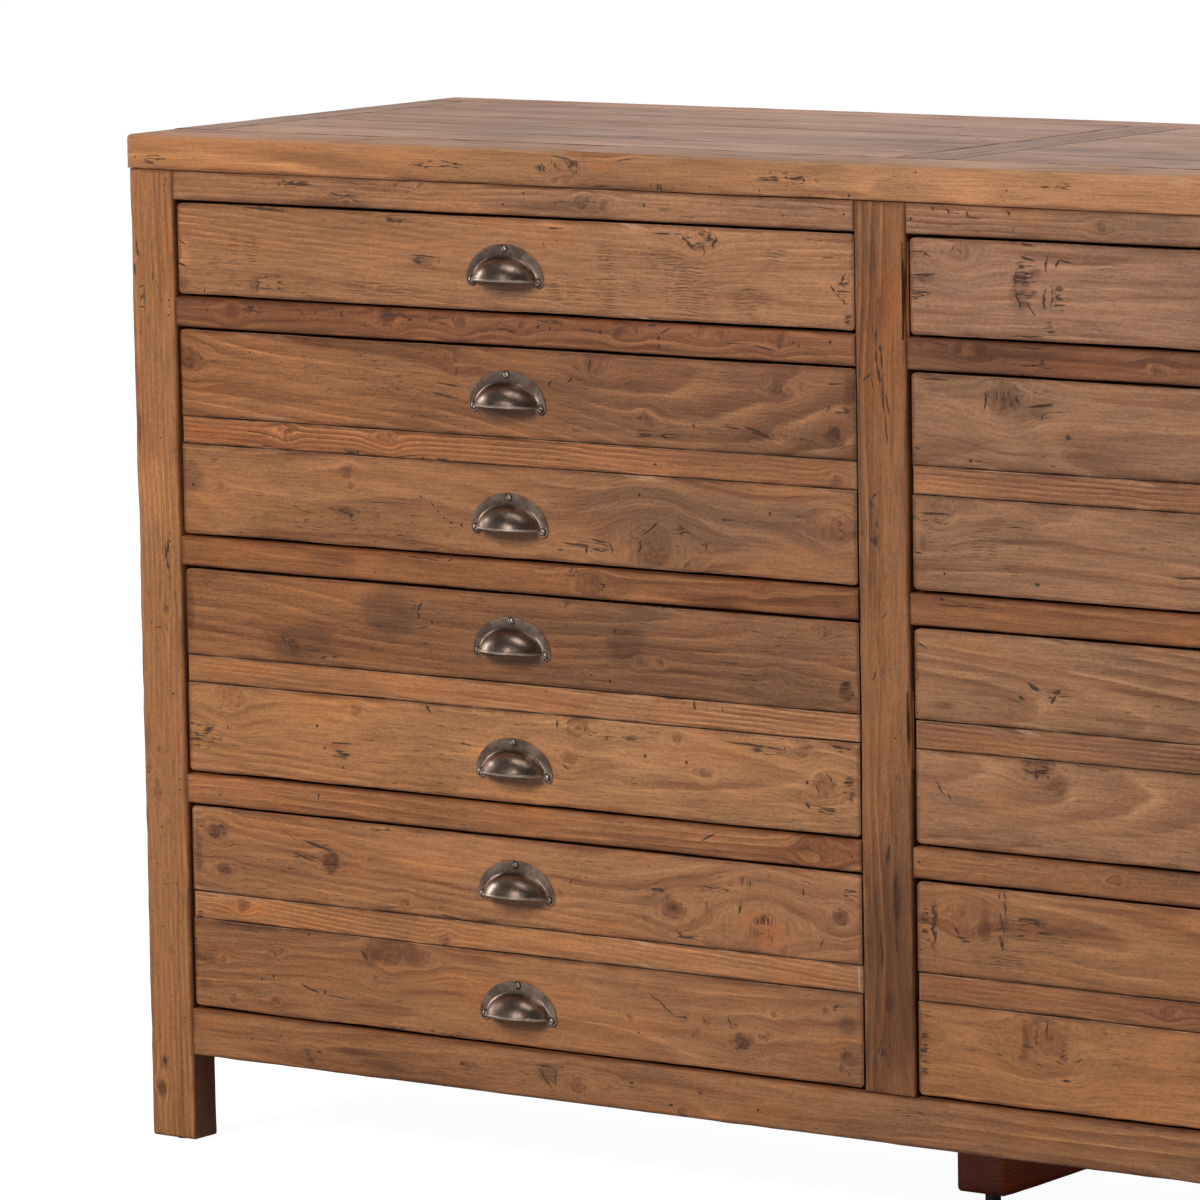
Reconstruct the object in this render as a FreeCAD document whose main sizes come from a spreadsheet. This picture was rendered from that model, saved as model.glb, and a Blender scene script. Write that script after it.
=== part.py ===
"""A floor-standing storage cabinet in reclaimed pine: two columns of four drawers in a post-and-rail case.

Frame: millimetres, +X to the right, +Y to the back, +Z up. The origin is on the floor, midway between
the cabinet's sides and midway between the front of the cup pulls and the back of the case.
"""
import FreeCAD, Part
import math
import os
import re

V = FreeCAD.Vector
doc = FreeCAD.newDocument("SeedStorageCabinet")

# ---------------------------------------------------------------------------------------------
# Driving dimensions, and what follows from them
# ---------------------------------------------------------------------------------------------
DRIVING = {
    # the case, from the floor up
    "glide_height": 2.5,
    "glide_radius": 8,
    "leg_height": 86,
    "bottom_rail_height": 47.5,
    "deep_height": 206.3,
    "rail_height": 30,
    "shallow_height": 94.5,
    "top_rail_height": 29.2,
    "top_thickness": 34,
    # the case, across and front to back
    "post_width": 55,
    "post_depth": 36,
    "opening_width": 806.6,
    "stile_width": 57.4,
    "case_depth": 531,
    # the top, an edged panel
    "top_overhang": 2,
    "top_front_board": 75,
    "top_back_board": 53,
    "top_end_board": 52,
    "top_cross_board": 63,
    # frame joints
    "tenon_length": 20,
    "tenon_thickness": 10,
    "tenon_shoulder": 6,
    "groove_depth": 8,
    "groove_shoulder": 10,
    # sides and back, rails round thin panels
    "frame_thickness": 22,
    "frame_recess": 6,
    "upper_rail_height": 60,
    "side_panel_thickness": 10,
    "back_panel_thickness": 6,
    # inside the case
    "partition_thickness": 18,
    "floor_thickness": 12,
    "floor_lift": 12,
    "runner_reach": 25,
    "guide_height": 20,
    # the bearer under the middle, and its levelling feet
    "bearer_width": 55,
    "bearer_lift": 13.5,
    "bearer_setback": 150,
    "bearer_round": 6,
    "leveller_radius": 7.5,
    "leveller_inset": 22,
    # drawer fronts
    "front_recess": 3,
    "front_gap": 2.5,
    "front_thickness": 22,
    "front_lower_board": 88.7,
    "front_strip": 27,
    "corner_round": 5,
    # drawer boxes
    "box_side_gap": 3,
    "box_slide_gap": 0.3,
    "box_head_gap": 8,
    "box_thickness": 13,
    "box_rear_gap": 18,
    "box_back_inset": 10,
    "bottom_thickness": 6,
    "bottom_lift": 12,
    "housing_depth": 5,
    "tail_length": 14,
    "tail_half_height": 14,
    "tail_flare": 2.3,
    # cup pulls
    "pull_half_width": 46,
    "pull_height": 35,
    "pull_ear_radius": 6.5,
    "pull_plate": 1.6,
    "pull_wall": 1.6,
    "cup_half_width": 36,
    "cup_height": 29,
    "cup_depth": 22,
    "cup_drop": 3,
    "lip_height": 2.4,
    "lip_proud": 1,
    "pull_level_upper": 148,
    "pull_level_lower": 30.5,
    "pull_level_shallow": 32,
}
DERIVED = {
    "case_base": "glide_height",
    "bottom_rail_base": "case_base + leg_height",
    "sill_four": "bottom_rail_base + bottom_rail_height",
    "sill_three": "sill_four + deep_height + rail_height",
    "sill_two": "sill_three + deep_height + rail_height",
    "sill_one": "sill_two + deep_height + rail_height",
    "head_one": "sill_one + shallow_height",
    "case_top": "head_one + top_rail_height",
    "top_surface": "case_top + top_thickness",
    "stile_half": "stile_width / 2",
    "post_face": "stile_half + opening_width",
    "case_half": "post_face + post_width",
    "bay_centre": "stile_half + opening_width / 2",
    "frame_inner": "case_half - frame_recess - frame_thickness",
    "frame_centre": "case_half - frame_recess - frame_thickness / 2",
    "floor_top": "bottom_rail_base + floor_lift + floor_thickness",
    "pull_proud": "cup_depth + lip_proud - front_recess",
    "face": "(pull_proud - case_depth) / 2",
    "rear": "face + case_depth",
    "post_back": "face + post_depth",
    "rear_post_front": "rear - post_depth",
    "back_frame_front": "rear - frame_recess - frame_thickness",
    "back_frame_centre": "rear - frame_recess - frame_thickness / 2",
    "front_back": "front_recess + front_thickness",
    "front_half": "opening_width / 2 - front_gap",
    "box_outer": "opening_width / 2 - box_side_gap",
    "box_inner": "box_outer - box_thickness",
    "box_end": "case_depth - frame_recess - frame_thickness - box_rear_gap",
    "bottom_under": "box_slide_gap + bottom_lift",
    "bottom_over": "bottom_under + bottom_thickness",
}
sheet = doc.addObject("Spreadsheet::Sheet", "Sizes")
for row, (alias, value) in enumerate(list(DRIVING.items()) + list(DERIVED.items()), start=1):
    sheet.set(f"A{row}", alias)
    sheet.set(f"B{row}", f"={value}" if alias in DERIVED else str(value))
    sheet.setAlias(f"B{row}", alias)
doc.recompute()


# ---------------------------------------------------------------------------------------------
# Building operations
# ---------------------------------------------------------------------------------------------
def bound(text):
    """An expression in the sheet's words, such as "post_width / 2", as FreeCAD reads it."""
    return re.sub(r"[a-z_]{2,}", lambda word: "Sizes." + word.group(0), text)


def size(alias):
    """The present value of one cell."""
    return float(getattr(sheet, alias))


def place(thing, x, y, z):
    """Binds an object's position to three expressions."""
    for axis, text in zip("xyz", (x, y, z)):
        thing.setExpression("Placement.Base." + axis, bound(text))
    return thing


def block(name, across, along, up):
    """A box between two expressions on each axis."""
    made = place(doc.addObject("Part::Box", name), across[0], along[0], up[0])
    for prop, (low, high) in zip(("Length", "Width", "Height"), (across, along, up)):
        made.setExpression(prop, bound(f"({high}) - ({low})"))
    return made


def disc(name, x, y, low, high, radius):
    """An upright cylinder between two heights."""
    made = place(doc.addObject("Part::Cylinder", name), x, y, low)
    made.setExpression("Radius", bound(radius))
    made.setExpression("Height", bound(f"({high}) - ({low})"))
    return made


def fuse(name, pieces):
    made = doc.addObject("Part::MultiFuse", name)
    made.Shapes = pieces
    return made


def cut(name, base, tools):
    made = doc.addObject("Part::Cut", name)
    made.Base = base
    made.Tool = tools[0] if len(tools) == 1 else fuse(name + "_tools", tools)
    return made


def rounded(name, base, radius, wanted):
    """Rounds the edges of base that wanted(edge) picks."""
    doc.recompute()
    made = doc.addObject("Part::Fillet", name)
    made.Base = base
    picked = [i for i, edge in enumerate(base.Shape.Edges, start=1) if wanted(edge)]
    made.Edges = [(i, radius, radius) for i in picked]
    return made


def node(label, pieces):
    """One sub-part: its separate solids in one compound, whose Label names the file."""
    made = doc.addObject("Part::Compound", label)
    made.Links = pieces
    made.Label = label
    nodes.append(made)
    return made


def mirrored(hand, inner, outer):
    """A span across the cabinet on its left (hand -1) or right (+1), from distances to the middle."""
    return (inner, outer) if hand > 0 else (f"-({outer})", f"-({inner})")


def inset(span, amount):
    """A span made shorter by amount at both ends."""
    return (f"({span[0]}) + {amount}", f"({span[1]}) - {amount}")


def about(centre, thickness):
    """A span of the given thickness about a centre."""
    return (f"({centre}) - {thickness} / 2", f"({centre}) + {thickness} / 2")


nodes = []
HANDS = {"left": -1, "right": 1}
SILLS = {"one": "sill_one", "two": "sill_two", "three": "sill_three", "four": "sill_four"}

# ---------------------------------------------------------------------------------------------
# Front frame rails, each with a tenon at both ends; the tenons also cut their mortises
# ---------------------------------------------------------------------------------------------
FRAME_DEPTH = ("face", "post_back")
RAIL_TENON = about("face + post_depth / 2", "tenon_thickness")
mortises = {"left_post": [], "right_post": [], "stile": [], "bottom_rail": []}


def front_rail(name, across, up, ends):
    """A rail of the front frame with a tenon into the member that each end meets."""
    tenons = []
    for member, (low, high) in zip(ends, ((f"{across[0]} - tenon_length", across[0]),
                                          (across[1], f"{across[1]} + tenon_length"))):
        tenons.append(block(f"{name}_{member}_tenon", (low, high), RAIL_TENON, inset(up, "tenon_shoulder")))
        mortises[member].append(tenons[-1])
    return fuse(name, [block(name + "_bar", across, FRAME_DEPTH, up)] + tenons)


top_rails = []
drawer_rails = []
for side, hand in HANDS.items():
    across = mirrored(hand, "stile_half", "post_face")
    ends = ("left_post", "stile") if hand < 0 else ("stile", "right_post")
    top_rails.append(front_rail(side + "_top_rail", across, ("head_one", "case_top"), ends))
    for word in ("one", "two", "three"):
        up = (f"{SILLS[word]} - rail_height", SILLS[word])
        drawer_rails.append(front_rail(f"{side}_rail_{word}", across, up, ends))
node("top_front_rails", top_rails)
node("drawer_rails", drawer_rails)

BOTTOM_RAIL_UP = ("bottom_rail_base", "sill_four")
bottom_rail = front_rail("bottom_rail", ("-post_face", "post_face"), BOTTOM_RAIL_UP, ("left_post", "right_post"))
stile_tenon = block("stile_tenon", inset(("-stile_half", "stile_half"), "groove_shoulder"), RAIL_TENON,
                    ("sill_four - tenon_length", "sill_four"))
mortises["bottom_rail"].append(stile_tenon)
stile_bar = block("stile_bar", ("-stile_half", "stile_half"), FRAME_DEPTH, ("sill_four", "case_top"))
node("middle_stile", [cut("stile", fuse("stile_blank", [stile_bar, stile_tenon]), mortises["stile"])])

# ---------------------------------------------------------------------------------------------
# Sides and back: rails tenoned between the posts, with thin panels held in grooves
# ---------------------------------------------------------------------------------------------
UPPER_UP = ("case_top - upper_rail_height", "case_top")
PANEL_UP = ("sill_four - groove_depth", "case_top - upper_rail_height + groove_depth")
SIDE_ALONG = ("post_back", "rear_post_front")

panels = {}
for side, hand in HANDS.items():
    panels[side] = block(side + "_side_panel",
                         about(f"{hand} * frame_centre", "side_panel_thickness"),
                         ("post_back - groove_depth", "rear_post_front + groove_depth"), PANEL_UP)
    panels[side + "_back"] = block(side + "_back_panel",
                                   mirrored(hand, "stile_half - groove_depth", "post_face + groove_depth"),
                                   about("back_frame_centre", "back_panel_thickness"), PANEL_UP)
node("side_panels", [panels["left"], panels["right"]])
node("back_panels", [panels["left_back"], panels["right_back"]])

# the floor lies in grooves of all four lower rails and is notched round the posts
floor_blank = block("floor_blank", ("-frame_inner - groove_depth", "frame_inner + groove_depth"),
                    ("post_back - groove_depth", "back_frame_front + groove_depth"),
                    ("floor_top - floor_thickness", "floor_top"))
post_blanks = {}
for side, hand in HANDS.items():
    across = mirrored(hand, "post_face", "case_half")
    post_blanks[side] = block(side + "_post_blank", across, FRAME_DEPTH, ("case_base", "case_top"))
    post_blanks[side + "_rear"] = block(side + "_rear_post_blank", across, ("rear_post_front", "rear"),
                                        ("case_base", "case_top"))
floor = cut("floor", floor_blank, list(post_blanks.values()))
node("floor_panel", [floor])
node("bottom_front_rail", [cut("bottom_rail_grooved", bottom_rail, mortises["bottom_rail"] + [floor_blank])])

side_rails = []
post_cuts = {name: [] for name in post_blanks}
for side, hand in HANDS.items():
    for level, up in (("upper", UPPER_UP), ("lower", BOTTOM_RAIL_UP)):
        name = f"{side}_{level}_side_rail"
        tenon_across = about(f"{hand} * frame_centre", "tenon_thickness")
        tenon_up = inset(up, "groove_shoulder")
        front = block(name + "_front_tenon", tenon_across, ("post_back - tenon_length", "post_back"), tenon_up)
        rear = block(name + "_rear_tenon", tenon_across,
                     ("rear_post_front", "rear_post_front + tenon_length"), tenon_up)
        bar = block(name + "_bar", mirrored(hand, "frame_inner", "case_half - frame_recess"), SIDE_ALONG, up)
        grooves = [panels[side]] + ([floor_blank] if level == "lower" else [])
        side_rails.append(cut(name, fuse(name + "_blank", [bar, front, rear]), grooves))
        post_cuts[side].append(front)
        post_cuts[side + "_rear"].append(rear)
node("side_rails", side_rails)

back_rails = []
BACK_FRAME = ("back_frame_front", "rear - frame_recess")
BACK_TENON = about("back_frame_centre", "tenon_thickness")
muntin_span = inset(("-stile_half", "stile_half"), "groove_shoulder")
muntin_tenons = {
    "upper": block("muntin_upper_tenon", muntin_span, BACK_TENON,
                   ("case_top - upper_rail_height", "case_top - upper_rail_height + tenon_length")),
    "lower": block("muntin_lower_tenon", muntin_span, BACK_TENON, ("sill_four - tenon_length", "sill_four")),
}
for level, up in (("upper", UPPER_UP), ("lower", BOTTOM_RAIL_UP)):
    name = level + "_back_rail"
    tenons = []
    for side, hand in HANDS.items():
        tenons.append(block(f"{name}_{side}_tenon", mirrored(hand, "post_face", "post_face + tenon_length"),
                            BACK_TENON, inset(up, "groove_shoulder")))
        post_cuts[side + "_rear"].append(tenons[-1])
    bar = block(name + "_bar", ("-post_face", "post_face"), BACK_FRAME, up)
    grooves = [panels["left_back"], panels["right_back"], muntin_tenons[level]]
    if level == "lower":
        grooves.append(floor_blank)
    back_rails.append(cut(name, fuse(name + "_blank", [bar] + tenons), grooves))
node("back_rails", back_rails)

muntin_bar = block("muntin_bar", ("-stile_half", "stile_half"), BACK_FRAME,
                   ("sill_four", "case_top - upper_rail_height"))
muntin_blank = fuse("muntin_blank", [muntin_bar] + list(muntin_tenons.values()))
node("back_muntin", [cut("muntin", muntin_blank, [panels["left_back"], panels["right_back"]])])

front_posts = []
back_posts = []
for side in HANDS:
    front_posts.append(cut(side + "_front_post", post_blanks[side],
                           mortises[side + "_post"] + post_cuts[side] + [panels[side]]))
    back_posts.append(cut(side + "_back_post", post_blanks[side + "_rear"],
                          post_cuts[side + "_rear"] + [panels[side], panels[side + "_back"]]))
node("front_posts", front_posts)
node("back_posts", back_posts)

# ---------------------------------------------------------------------------------------------
# Inside the case: the partition, and the runners, guides and kickers that carry the drawers
# ---------------------------------------------------------------------------------------------
partition = block("partition_board", about("0", "partition_thickness"), ("post_back", "back_frame_front"),
                  ("floor_top", "case_top"))
node("partition", [partition])

runners = []
guides = []
for side, hand in HANDS.items():
    for rank, inner, outer, guide_inner, guide_outer, rear in (
            ("outer", "post_face - runner_reach", "frame_inner", "post_face", "frame_inner", "rear_post_front"),
            ("inner", "partition_thickness / 2", "stile_half + runner_reach",
             "partition_thickness / 2", "stile_half", "back_frame_front")):
        along = ("post_back", rear)
        for word, sill in SILLS.items():
            under = "floor_top" if word == "four" else sill + " - rail_height"
            runners.append(block(f"{side}_{rank}_runner_{word}", mirrored(hand, inner, outer), along,
                                 (under, sill)))
            guides.append(block(f"{side}_{rank}_guide_{word}", mirrored(hand, guide_inner, guide_outer), along,
                                (sill, sill + " + guide_height")))
        runners.append(block(f"{side}_{rank}_kicker", mirrored(hand, inner, outer), along,
                             ("head_one", "case_top")))
node("drawer_runners", runners)
node("drawer_guides", guides)

# ---------------------------------------------------------------------------------------------
# Under the case: the middle bearer and the feet's glides
# ---------------------------------------------------------------------------------------------
bearer_blank = block("bearer_blank", about("0", "bearer_width"), ("face + bearer_setback", "back_frame_front"),
                     ("bearer_lift", "floor_top - floor_thickness"))
bearer = rounded("bearer", bearer_blank, size("bearer_round"),
                 lambda edge: abs(edge.tangentAt(edge.FirstParameter).y) > 0.9
                 and abs(edge.CenterOfMass.z - size("bearer_lift")) < 1e-6)
node("centre_bearer", [bearer])

glides = []
for side, hand in HANDS.items():
    x = f"{hand} * (case_half - post_width / 2)"
    for end, y in (("front", "face + post_depth / 2"), ("rear", "rear - post_depth / 2")):
        glides.append(disc(f"{side}_{end}_glide", x, y, "0", "case_base", "glide_radius"))
for end, y in (("front", "face + bearer_setback + leveller_inset"), ("rear", "back_frame_front - leveller_inset")):
    glides.append(disc(f"bearer_{end}_leveller", "0", y, "0", "bearer_lift", "leveller_radius"))
node("foot_glides", glides)

# ---------------------------------------------------------------------------------------------
# The top: long border boards front and back, cross boards between them, field boards in two bays
# ---------------------------------------------------------------------------------------------
TOP_UP = ("case_top", "top_surface")
TOP_HALF = "case_half + top_overhang"
FIELD_FRONT = "face - top_overhang + top_front_board"
FIELD_REAR = "rear - top_back_board"
FIELD_BOARDS = 5

node("top_long_boards", [
    block("top_front_border", (f"-({TOP_HALF})", TOP_HALF), ("face - top_overhang", FIELD_FRONT), TOP_UP),
    block("top_back_border", (f"-({TOP_HALF})", TOP_HALF), (FIELD_REAR, "rear"), TOP_UP),
])
cross_boards = [block("top_centre_cross", about("0", "top_cross_board"), (FIELD_FRONT, FIELD_REAR), TOP_UP)]
field_boards = []
for side, hand in HANDS.items():
    cross_boards.append(block(side + "_top_end", mirrored(hand, f"{TOP_HALF} - top_end_board", TOP_HALF),
                              (FIELD_FRONT, FIELD_REAR), TOP_UP))
    across = mirrored(hand, "top_cross_board / 2", f"{TOP_HALF} - top_end_board")
    for i in range(FIELD_BOARDS):
        edges = [f"{FIELD_FRONT} + {k} / {FIELD_BOARDS} * (({FIELD_REAR}) - ({FIELD_FRONT}))" for k in (i, i + 1)]
        field_boards.append(block(f"{side}_field_board_{i}", across, edges, TOP_UP))
node("top_cross_boards", cross_boards)
node("top_field_boards", field_boards)


# ---------------------------------------------------------------------------------------------
# Drawers, each modelled once about the middle of its opening, on its sill and at the case's face
# ---------------------------------------------------------------------------------------------
def front_board(name, low, high, top, bottom):
    """A front board between two heights, with round corners where it is the top or the bottom one."""
    board = block(name + "_blank", ("-front_half", "front_half"), ("front_recess", "front_back"), (low, high))
    doc.recompute()
    limits = [board.Shape.BoundBox.ZMin] * bottom + [board.Shape.BoundBox.ZMax] * top

    def corner(edge):
        runs_back = abs(edge.tangentAt(edge.FirstParameter).y) > 0.9
        return runs_back and any(abs(edge.CenterOfMass.z - limit) < 1e-6 for limit in limits)

    return rounded(name, board, size("corner_round"), corner) if limits else board


def dovetails(name, hand, height, count):
    """The tails on one side's front end, wider at their tips."""
    across = mirrored(hand, "box_inner", "box_outer")
    tails = []
    for i in range(count):
        tail = place(doc.addObject("Part::Wedge", f"{name}_tail_{i}"), "0", "0", "0")
        middle = f"(front_gap + ({i} + 0.5) / {count} * ({height} - 2 * front_gap))"
        rules = {
            "Xmin": across[0], "Xmax": across[1], "X2min": across[0], "X2max": across[1],
            "Ymin": "front_back - tail_length", "Ymax": "front_back",
            "Zmin": f"{middle} - tail_half_height - tail_flare",
            "Zmax": f"{middle} + tail_half_height + tail_flare",
            "Z2min": f"{middle} - tail_half_height", "Z2max": f"{middle} + tail_half_height",
        }
        for prop, text in rules.items():
            tail.setExpression(prop, bound(text))
        tails.append(tail)
    return tails


def drawer_box(kind, height, boards, tail_count):
    """The wooden parts of one kind of drawer: its front, sides, back and bottom."""
    bottom = block(kind + "_bottom", ("-box_inner - housing_depth", "box_inner + housing_depth"),
                   ("front_back - housing_depth", "box_end - box_back_inset"),
                   ("bottom_under", "bottom_over"))
    back = block(kind + "_back", ("-box_inner - housing_depth", "box_inner + housing_depth"),
                 ("box_end - box_back_inset - box_thickness", "box_end - box_back_inset"),
                 ("bottom_over", f"{height} - box_head_gap"))
    sides = []
    tails = []
    for side, hand in HANDS.items():
        name = f"{kind}_{side}_side"
        own_tails = dovetails(name, hand, height, tail_count)
        board = block(name + "_board", mirrored(hand, "box_inner", "box_outer"), ("front_back", "box_end"),
                      ("box_slide_gap", f"{height} - box_head_gap"))
        sides.append(cut(name, fuse(name + "_blank", [board] + own_tails), [bottom, back]))
        tails += own_tails
    front = [cut(board.Name + "_jointed", board, tails + [bottom]) for board in boards]
    return {"front": front, "sides": sides, "back": [back], "bottom": [bottom]}


def cup_solid(half_width, height, depth, back):
    """Half a flattened dome on its side, in flat facets: level underneath, with an upright wall behind y = 0
    that runs back to y = back."""
    around = 12
    over = 4
    rings = []
    for k in range(over):
        tilt = math.radians(90) * k / over
        rings.append([V(half_width * math.cos(tilt) * math.cos(math.pi * j / around), -depth * math.sin(tilt),
                        height * math.cos(tilt) * math.sin(math.pi * j / around)) for j in range(around + 1)])
    if back > 0:
        rings.insert(0, [V(p.x, back, p.z) for p in rings[0]])
    tip = V(0, -depth, 0)
    faces = []
    for near, far in zip(rings, rings[1:]):
        for j in range(around):
            faces.append([near[j], near[j + 1], far[j + 1], far[j]])
    faces += [[rings[-1][j], rings[-1][j + 1], tip] for j in range(around)]
    faces.append(rings[0])
    faces.append([ring[0] for ring in rings] + [tip] + [ring[-1] for ring in reversed(rings)])
    shell = Part.makeShell([Part.Face(Part.makePolygon(points + points[:1])) for points in faces])
    solid = Part.makeSolid(shell)
    return solid if solid.Volume > 0 else solid.reversed()


def cup_pull():
    """A pressed cup pull, its plate's back at y = 0 and its widest line at z = 0.

    The plate is an arched band with a round ear at each foot; the cup rises from inside the band,
    hollow and open below and behind, and a lip runs round its mouth.
    """
    half, ear = size("pull_half_width"), size("pull_ear_radius")
    arch = Part.Arc(V(half, 0, 0), V(0, 0, size("pull_height")), V(-half, 0, 0)).discretize(17)
    feet = [Part.Arc(V(hand * half, 0, 0), V(hand * (half - ear), 0, -ear), V(hand * (half - 2 * ear), 0, 0))
            for hand in (-1, 1)]
    outline = arch + feet[0].discretize(6)[1:] + feet[1].discretize(6)[::-1]
    plate = Part.Face(Part.makePolygon(outline)).extrude(V(0, -size("pull_plate"), 0))

    down = V(0, 0, -size("cup_drop"))
    wall = size("pull_wall")
    cup = cup_solid(size("cup_half_width"), size("cup_height"), size("cup_depth"), 0)
    hollow = cup_solid(size("cup_half_width") - wall, size("cup_height") - wall, size("cup_depth") - wall, wall)
    proud = size("lip_proud")
    lip_blank = cup_solid(size("cup_half_width") + proud, size("cup_height"), size("cup_depth") + proud, 0)
    lip = lip_blank.common(Part.makeBox(4 * half, 4 * half, size("lip_height"), V(-2 * half, -2 * half, 0)))
    outer = cup.fuse(lip)
    for shape in (outer, hollow):
        shape.translate(down)
    return plate.fuse(outer).cut(hollow).removeSplitter()


pull = doc.addObject("Part::Feature", "cup_pull")
pull.Shape = cup_pull()


def pull_at(name, level):
    """A cup pull on the drawer front at the given height over the sill."""
    made = doc.addObject("Part::Compound", name)
    made.Links = [pull]
    return place(made, "0", "front_recess", level)


deep_boards = [
    front_board("deep_lower_board", "front_gap", "front_gap + front_lower_board", False, True),
    front_board("deep_strip", "front_gap + front_lower_board", "front_gap + front_lower_board + front_strip",
                False, False),
    front_board("deep_upper_board", "front_gap + front_lower_board + front_strip", "deep_height - front_gap",
                True, False),
]
shallow_boards = [front_board("shallow_board", "front_gap", "shallow_height - front_gap", True, True)]

deep = drawer_box("deep", "deep_height", deep_boards, 4)
deep["pulls"] = [pull_at("deep_upper_pull", "pull_level_upper"), pull_at("deep_lower_pull", "pull_level_lower")]
shallow = drawer_box("shallow", "shallow_height", shallow_boards, 2)
shallow["pulls"] = [pull_at("shallow_pull", "pull_level_shallow")]

for side, hand in HANDS.items():
    for word, sill in SILLS.items():
        for piece, solids in (shallow if word == "one" else deep).items():
            made = node(f"{side}_drawer_{word}_{piece}", solids)
            place(made, f"{hand} * bay_centre", "face", sill)

# ---------------------------------------------------------------------------------------------
# Checks and export
# ---------------------------------------------------------------------------------------------
doc.recompute()
for thing in doc.Objects:
    if "Invalid" in thing.State or "Error" in thing.State:
        raise RuntimeError(f"{thing.Name} failed: {thing.State}")
for sub_part in nodes:
    shape = sub_part.Shape
    if shape.isNull() or not shape.isValid() or len(shape.Solids) < len(sub_part.Links):
        raise RuntimeError(f"{sub_part.Label} has no valid shape")

os.makedirs("parts", exist_ok=True)
for sub_part in nodes:
    sub_part.Shape.exportStep(f"parts/{sub_part.Label}.step")
print(len(nodes), "nodes,", sum(len(sub_part.Shape.Solids) for sub_part in nodes), "solids")
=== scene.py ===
"""A floor-standing storage cabinet in reclaimed pine, dressed on its CAD frame.

Metres, +X to the right, +Y to the back, +Z up, in the CAD model's own frame.
"""
import math
import random

import bmesh
import bpy
from mathutils import Matrix, Vector, noise


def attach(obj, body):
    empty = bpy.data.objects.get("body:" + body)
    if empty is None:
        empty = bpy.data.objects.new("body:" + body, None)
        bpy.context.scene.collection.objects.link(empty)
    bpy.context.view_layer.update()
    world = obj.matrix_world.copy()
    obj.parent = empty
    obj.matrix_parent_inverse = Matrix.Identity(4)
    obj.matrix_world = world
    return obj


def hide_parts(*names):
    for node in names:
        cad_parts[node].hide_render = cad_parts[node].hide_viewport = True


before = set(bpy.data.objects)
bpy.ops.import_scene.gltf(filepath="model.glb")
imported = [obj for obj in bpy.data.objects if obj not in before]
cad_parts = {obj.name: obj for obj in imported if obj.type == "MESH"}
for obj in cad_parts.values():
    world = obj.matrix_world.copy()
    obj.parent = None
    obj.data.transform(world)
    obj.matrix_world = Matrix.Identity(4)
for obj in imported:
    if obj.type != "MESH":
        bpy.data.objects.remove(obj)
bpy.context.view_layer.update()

# ---------------------------------------------------------------------------------------------
# The studio: a pale seamless floor, one large soft light from the front left, a weak one from the
# right, and a long lens a little above the cabinet's top, turned to its front right corner.
# ---------------------------------------------------------------------------------------------
camera = bpy.data.objects.new("camera", bpy.data.cameras.new("camera"))
camera.data.lens = 238.33
camera.data.sensor_width = 36
camera.data.clip_start = 0.1
camera.data.clip_end = 400
turn, tilt, roll = math.radians(36.3606), math.radians(7.7354), math.radians(-0.976)
ahead = Vector((-math.sin(turn) * math.cos(tilt), math.cos(turn) * math.cos(tilt), -math.sin(tilt)))
level_right = Vector((math.cos(turn), math.sin(turn), 0))
level_up = level_right.cross(ahead)
right = level_right * math.cos(roll) + level_up * math.sin(roll)
up = level_up * math.cos(roll) - level_right * math.sin(roll)
camera_place = Matrix.Translation((4.09156, -6.25437, 1.5903))
camera.matrix_world = camera_place @ Matrix((right, up, -ahead)).transposed().to_4x4()
bpy.context.collection.objects.link(camera)
bpy.context.scene.camera = camera
bpy.context.scene.view_settings.view_transform = "Standard"


def put(tree, kind, inputs=(), **settings):
    """Adds one node to a tree; an input is a value or another node's output."""
    node = tree.nodes.new("ShaderNode" + kind)
    for name, value in settings.items():
        setattr(node, name, value)
    for name, value in dict(inputs).items():
        if isinstance(value, bpy.types.NodeSocket):
            tree.links.new(value, node.inputs[name])
        else:
            node.inputs[name].default_value = value
    return node


def blank(name):
    """An empty material and its node tree."""
    material = bpy.data.materials.new(name)
    material.use_nodes = True
    material.node_tree.nodes.clear()
    return material, material.node_tree


def finished(name, bm, materials, sharp=None):
    """Turns a bmesh into an object; edges sharper than an angle stay sharp."""
    mesh = bpy.data.meshes.new(name)
    bm.to_mesh(mesh)
    bm.free()
    if sharp:
        mesh.shade_smooth()
        mesh.set_sharp_from_angle(angle=sharp)
    for material in materials:
        mesh.materials.append(material)
    made = bpy.data.objects.new(name, mesh)
    bpy.context.collection.objects.link(made)
    return made


def softbox(name, place, aim, width, height, watts, gloss=False):
    """A rectangular soft light that faces a point. A gloss light shows only as a reflection."""
    lamp = bpy.data.lights.new(name, "AREA")
    lamp.shape = "RECTANGLE"
    lamp.size, lamp.size_y = width, height
    lamp.energy = watts
    holder = bpy.data.objects.new(name, lamp)
    facing = (Vector(aim) - Vector(place)).to_track_quat("-Z", "Y")
    holder.matrix_world = Matrix.Translation(place) @ facing.to_matrix().to_4x4()
    holder.visible_glossy = gloss
    holder.visible_diffuse = not gloss
    bpy.context.collection.objects.link(holder)


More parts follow.
